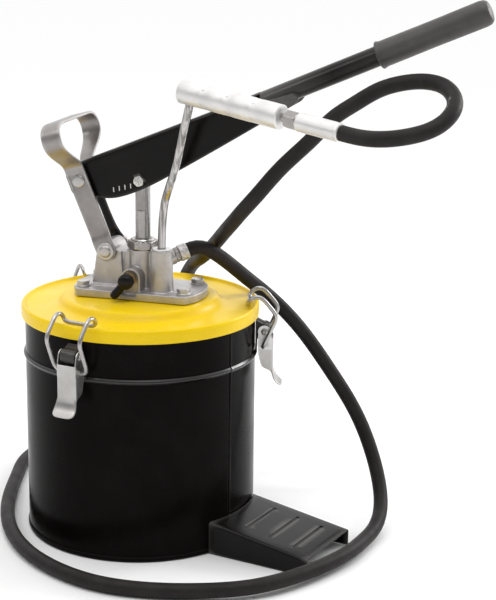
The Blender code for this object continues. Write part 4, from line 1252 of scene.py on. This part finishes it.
def make_carry_handle():
    """One strap bent into two legs and a hand loop; the back leg is painted black up to its bend, as
    painted shade.
    """
    line = [Vector(p) for p in soften(strap_line(), 0.005, 4, False)]
    fine = []
    for a, b in zip(line, line[1:]):
        parts = max(1, round((b - a).length / 0.0016))
        fine += [a.lerp(b, k / parts) for k in range(parts)]
    fine.append(line[-1])
    far = distances(fine)
    half_t, ease = STRAP_T / 2, 0.0006
    sections = []
    for k, point in enumerate(fine):
        way = heading(fine, k)
        side = Vector((way.y, -way.x))
        end = min(far[k], far[-1] - far[k])
        w = strap_half(point.x, point.y)
        if end < w:
            w = max(0.0035, math.sqrt(w**2 - (w - end) ** 2))
        flats = [(a, -half_t) for a in (w - ease, w * 0.5, 0, -w * 0.5, -w + ease)]
        section = [(w, -half_t + ease)] + flats + [(-w, -half_t + ease)]
        ring = []
        for across, through in section + mirrored(section):
            flat = point + side * through
            ring.append(on_link(flat.x, flat.y, across))
        sections.append(ring)
    strap = add("carry_handle", loft(sections), STRAP, sharp=40)
    cuts = [cross_drill(0.0045, LINK_LOW, 0.04), cross_drill(0.0043, LINK_TOP, 0.04)]
    cuts.append(add("recess", bolt_recess(), STRAP))
    carve(strap, cuts)
    # painted shade: the back leg, which the front leg shades, gets black paint up to its bend
    paint_faces(strap, BLACK_PAINT, on_shaded_back_leg)
    stand_for(strap, "link", "zinc_plate", "carry_handle")


# The back leg's faces below the bend, which take the painted shade.
def on_shaded_back_leg(spot):
    return spot.y > 0.01 and (spot - LINK_LOW).dot(LINK_UP) < RING_BEND


def cross_bolt(name, body, centre, radius, out, profile):
    """A round-headed bolt along Y through centre, its head in front."""
    tip = 2 * out + 0.0075
    shank = [(radius, -GAP), (radius, tip - 0.0005), (radius - 0.0005, tip), (0, tip)]
    bolt = lathe(profile + shank, 56)
    part(name, bolt, ZINC, body, "zinc_plate", along(centre - BACK * out, BACK))


def back_nut(name, body, centre, out, corner, bore):
    """A nut on the bolt's far end, against the face at that distance behind the centre."""
    place = along(centre + BACK * (out + GAP), BACK)
    part(name, hex_piece(corner, 0, 0.0055, bore), ZINC, body, "zinc_plate", place)


def make_bolts():
    outside = LINK_Y + STRAP_T / 2
    dome = [(0, -0.0016), (0.0048, -0.0014), (0.0062, -0.0008), (0.0068, -GAP)]
    dome = soften(dome, 0.0008, 4, False)
    cross_bolt("link_bolt_upper", "link", LINK_TOP, 0.004, outside, dome)
    back_nut("link_bolt_upper_nut", "link", LINK_TOP, outside, 0.0068, 0.0043)

    low = outside + 0.0015
    rivet = [(0, -0.0036), (0.0046, -0.0034), (0.006, -0.0026), (0.0064, -0.0018), (0.009, -0.0018)]
    rivet += [(0.0098, -0.0012), (0.0098, -GAP)]
    rivet = soften(rivet, 0.0006, 3, False)
    cross_bolt("link_bolt_lower", "pump", LINK_LOW, 0.0042, low, rivet)
    back_nut("link_bolt_lower_nut", "pump", LINK_LOW, low, 0.0098, 0.0045)
    make_rod_bolt()
    back_nut("rod_bolt_nut", "rod", LEVER_PIN, CHANNEL_HALF, 0.0062, 0.0043)


def make_rod_bolt():
    """A hexagon-headed bolt with a plain six-pointed star sunk in its head."""
    place = along(LEVER_PIN - BACK * CHANNEL_HALF, BACK)
    length = 2 * CHANNEL_HALF + 0.0075
    shank = [(0, -0.002), (0.004, -0.002), (0.004, length), (0, length)]
    bolt = add("rod_bolt", lathe(shank, 40), ZINC, place)
    hexagon = hex_piece(0.0062, -0.004, -GAP, turn=math.radians(12))
    carve(bolt, add("head", hexagon, ZINC, place), "UNION")
    star = []
    for k in range(3):
        bar = [(0.0034, 0.0003), (-0.0034, 0.0003), (-0.0034, -0.0003), (0.0034, -0.0003)]
        spin = Matrix.Rotation(math.radians(60 * k + 15), 4, "Z")
        star.append(add("mark", prism(bar, -0.005, -0.0036), ZINC, place @ spin))
    carve(bolt, star)
    stand_for(bolt, "rod", "zinc_plate", "rod_bolt")


# ---- inner pieces kept from the model ----


def finish_inner_pieces():
    """The pieces inside the pail and the casting keep their own solids, with real finishes."""
    kept = {
        BRASS: ["foot_valve_seat", "piston", "outlet_valve_seat"],
        STEEL: ["pump_barrel", "ball_stop_pin", "piston_nut", "foot_valve_ball", "outlet_valve_ball"],
        SPRING: ["outlet_valve_spring"],
        ZINC: ["suction_strainer"],
        SEAL_RUBBER: ["lid_gasket", "head_gasket", "gland_packing", "piston_seal"],
    }
    for material, names in kept.items():
        for name in names:
            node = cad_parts[name]
            for place in node.material_slots:
                place.link = "OBJECT"
                place.material = material


# ---- build ----

BLACK_PAINT = black_paint("black_paint", 0.16)
PAIL_PAINT = black_paint("pail_paint", 0.04)
RUBBED_PAINT = black_paint("rubbed_paint", 0.55)
YELLOW_PAINT = yellow_paint()
CAST = cast_metal()
ZINC = plated("zinc_plate", (0.54, 0.525, 0.512), (0.42, 0.405, 0.394), 0.36)
STRAP = plated("strap_steel", (0.36, 0.341, 0.333), (0.26, 0.244, 0.238), 0.42, (60, 1200, 1200))
BRIGHT_WIRE = plated("bright_wire", (0.5, 0.49, 0.48), (0.38, 0.365, 0.355), 0.3, (300, 300, 40))
STEEL = plated("steel", (0.38, 0.36, 0.35), (0.27, 0.255, 0.248), 0.32)
ROD_STEEL = plated("rod_steel", (0.33, 0.315, 0.305), (0.24, 0.229, 0.222), 0.28)
SPRING = plated("spring_steel", (0.45, 0.44, 0.43), (0.33, 0.32, 0.31), 0.28)
CRIMPED = plated("crimped_steel", (0.66, 0.64, 0.63), (0.5, 0.485, 0.475), 0.44)
CHROME = chrome()
SATIN = satin_aluminium()
GRIP_RUBBER = grip_rubber()
HOSE_RUBBER = hose_rubber()
SEAL_RUBBER = seal_rubber()
BLACK_PLASTIC = black_plastic()
BRASS = brass()

add_camera()
add_studio()
add_floor()
outlet_ferrule = make_outlet()
hose_ferrule = make_nozzle()
make_hose()
make_pail()
make_lid()
make_footrest()
for latch_number, latch_angle in enumerate(LATCH_ANGLES, 1):
    make_latch(latch_number, latch_angle)
make_head()
make_head_bolts()
make_gland()
make_cock()
make_rod()
make_lever()
make_carry_handle()
make_bolts()
finish_inner_pieces()
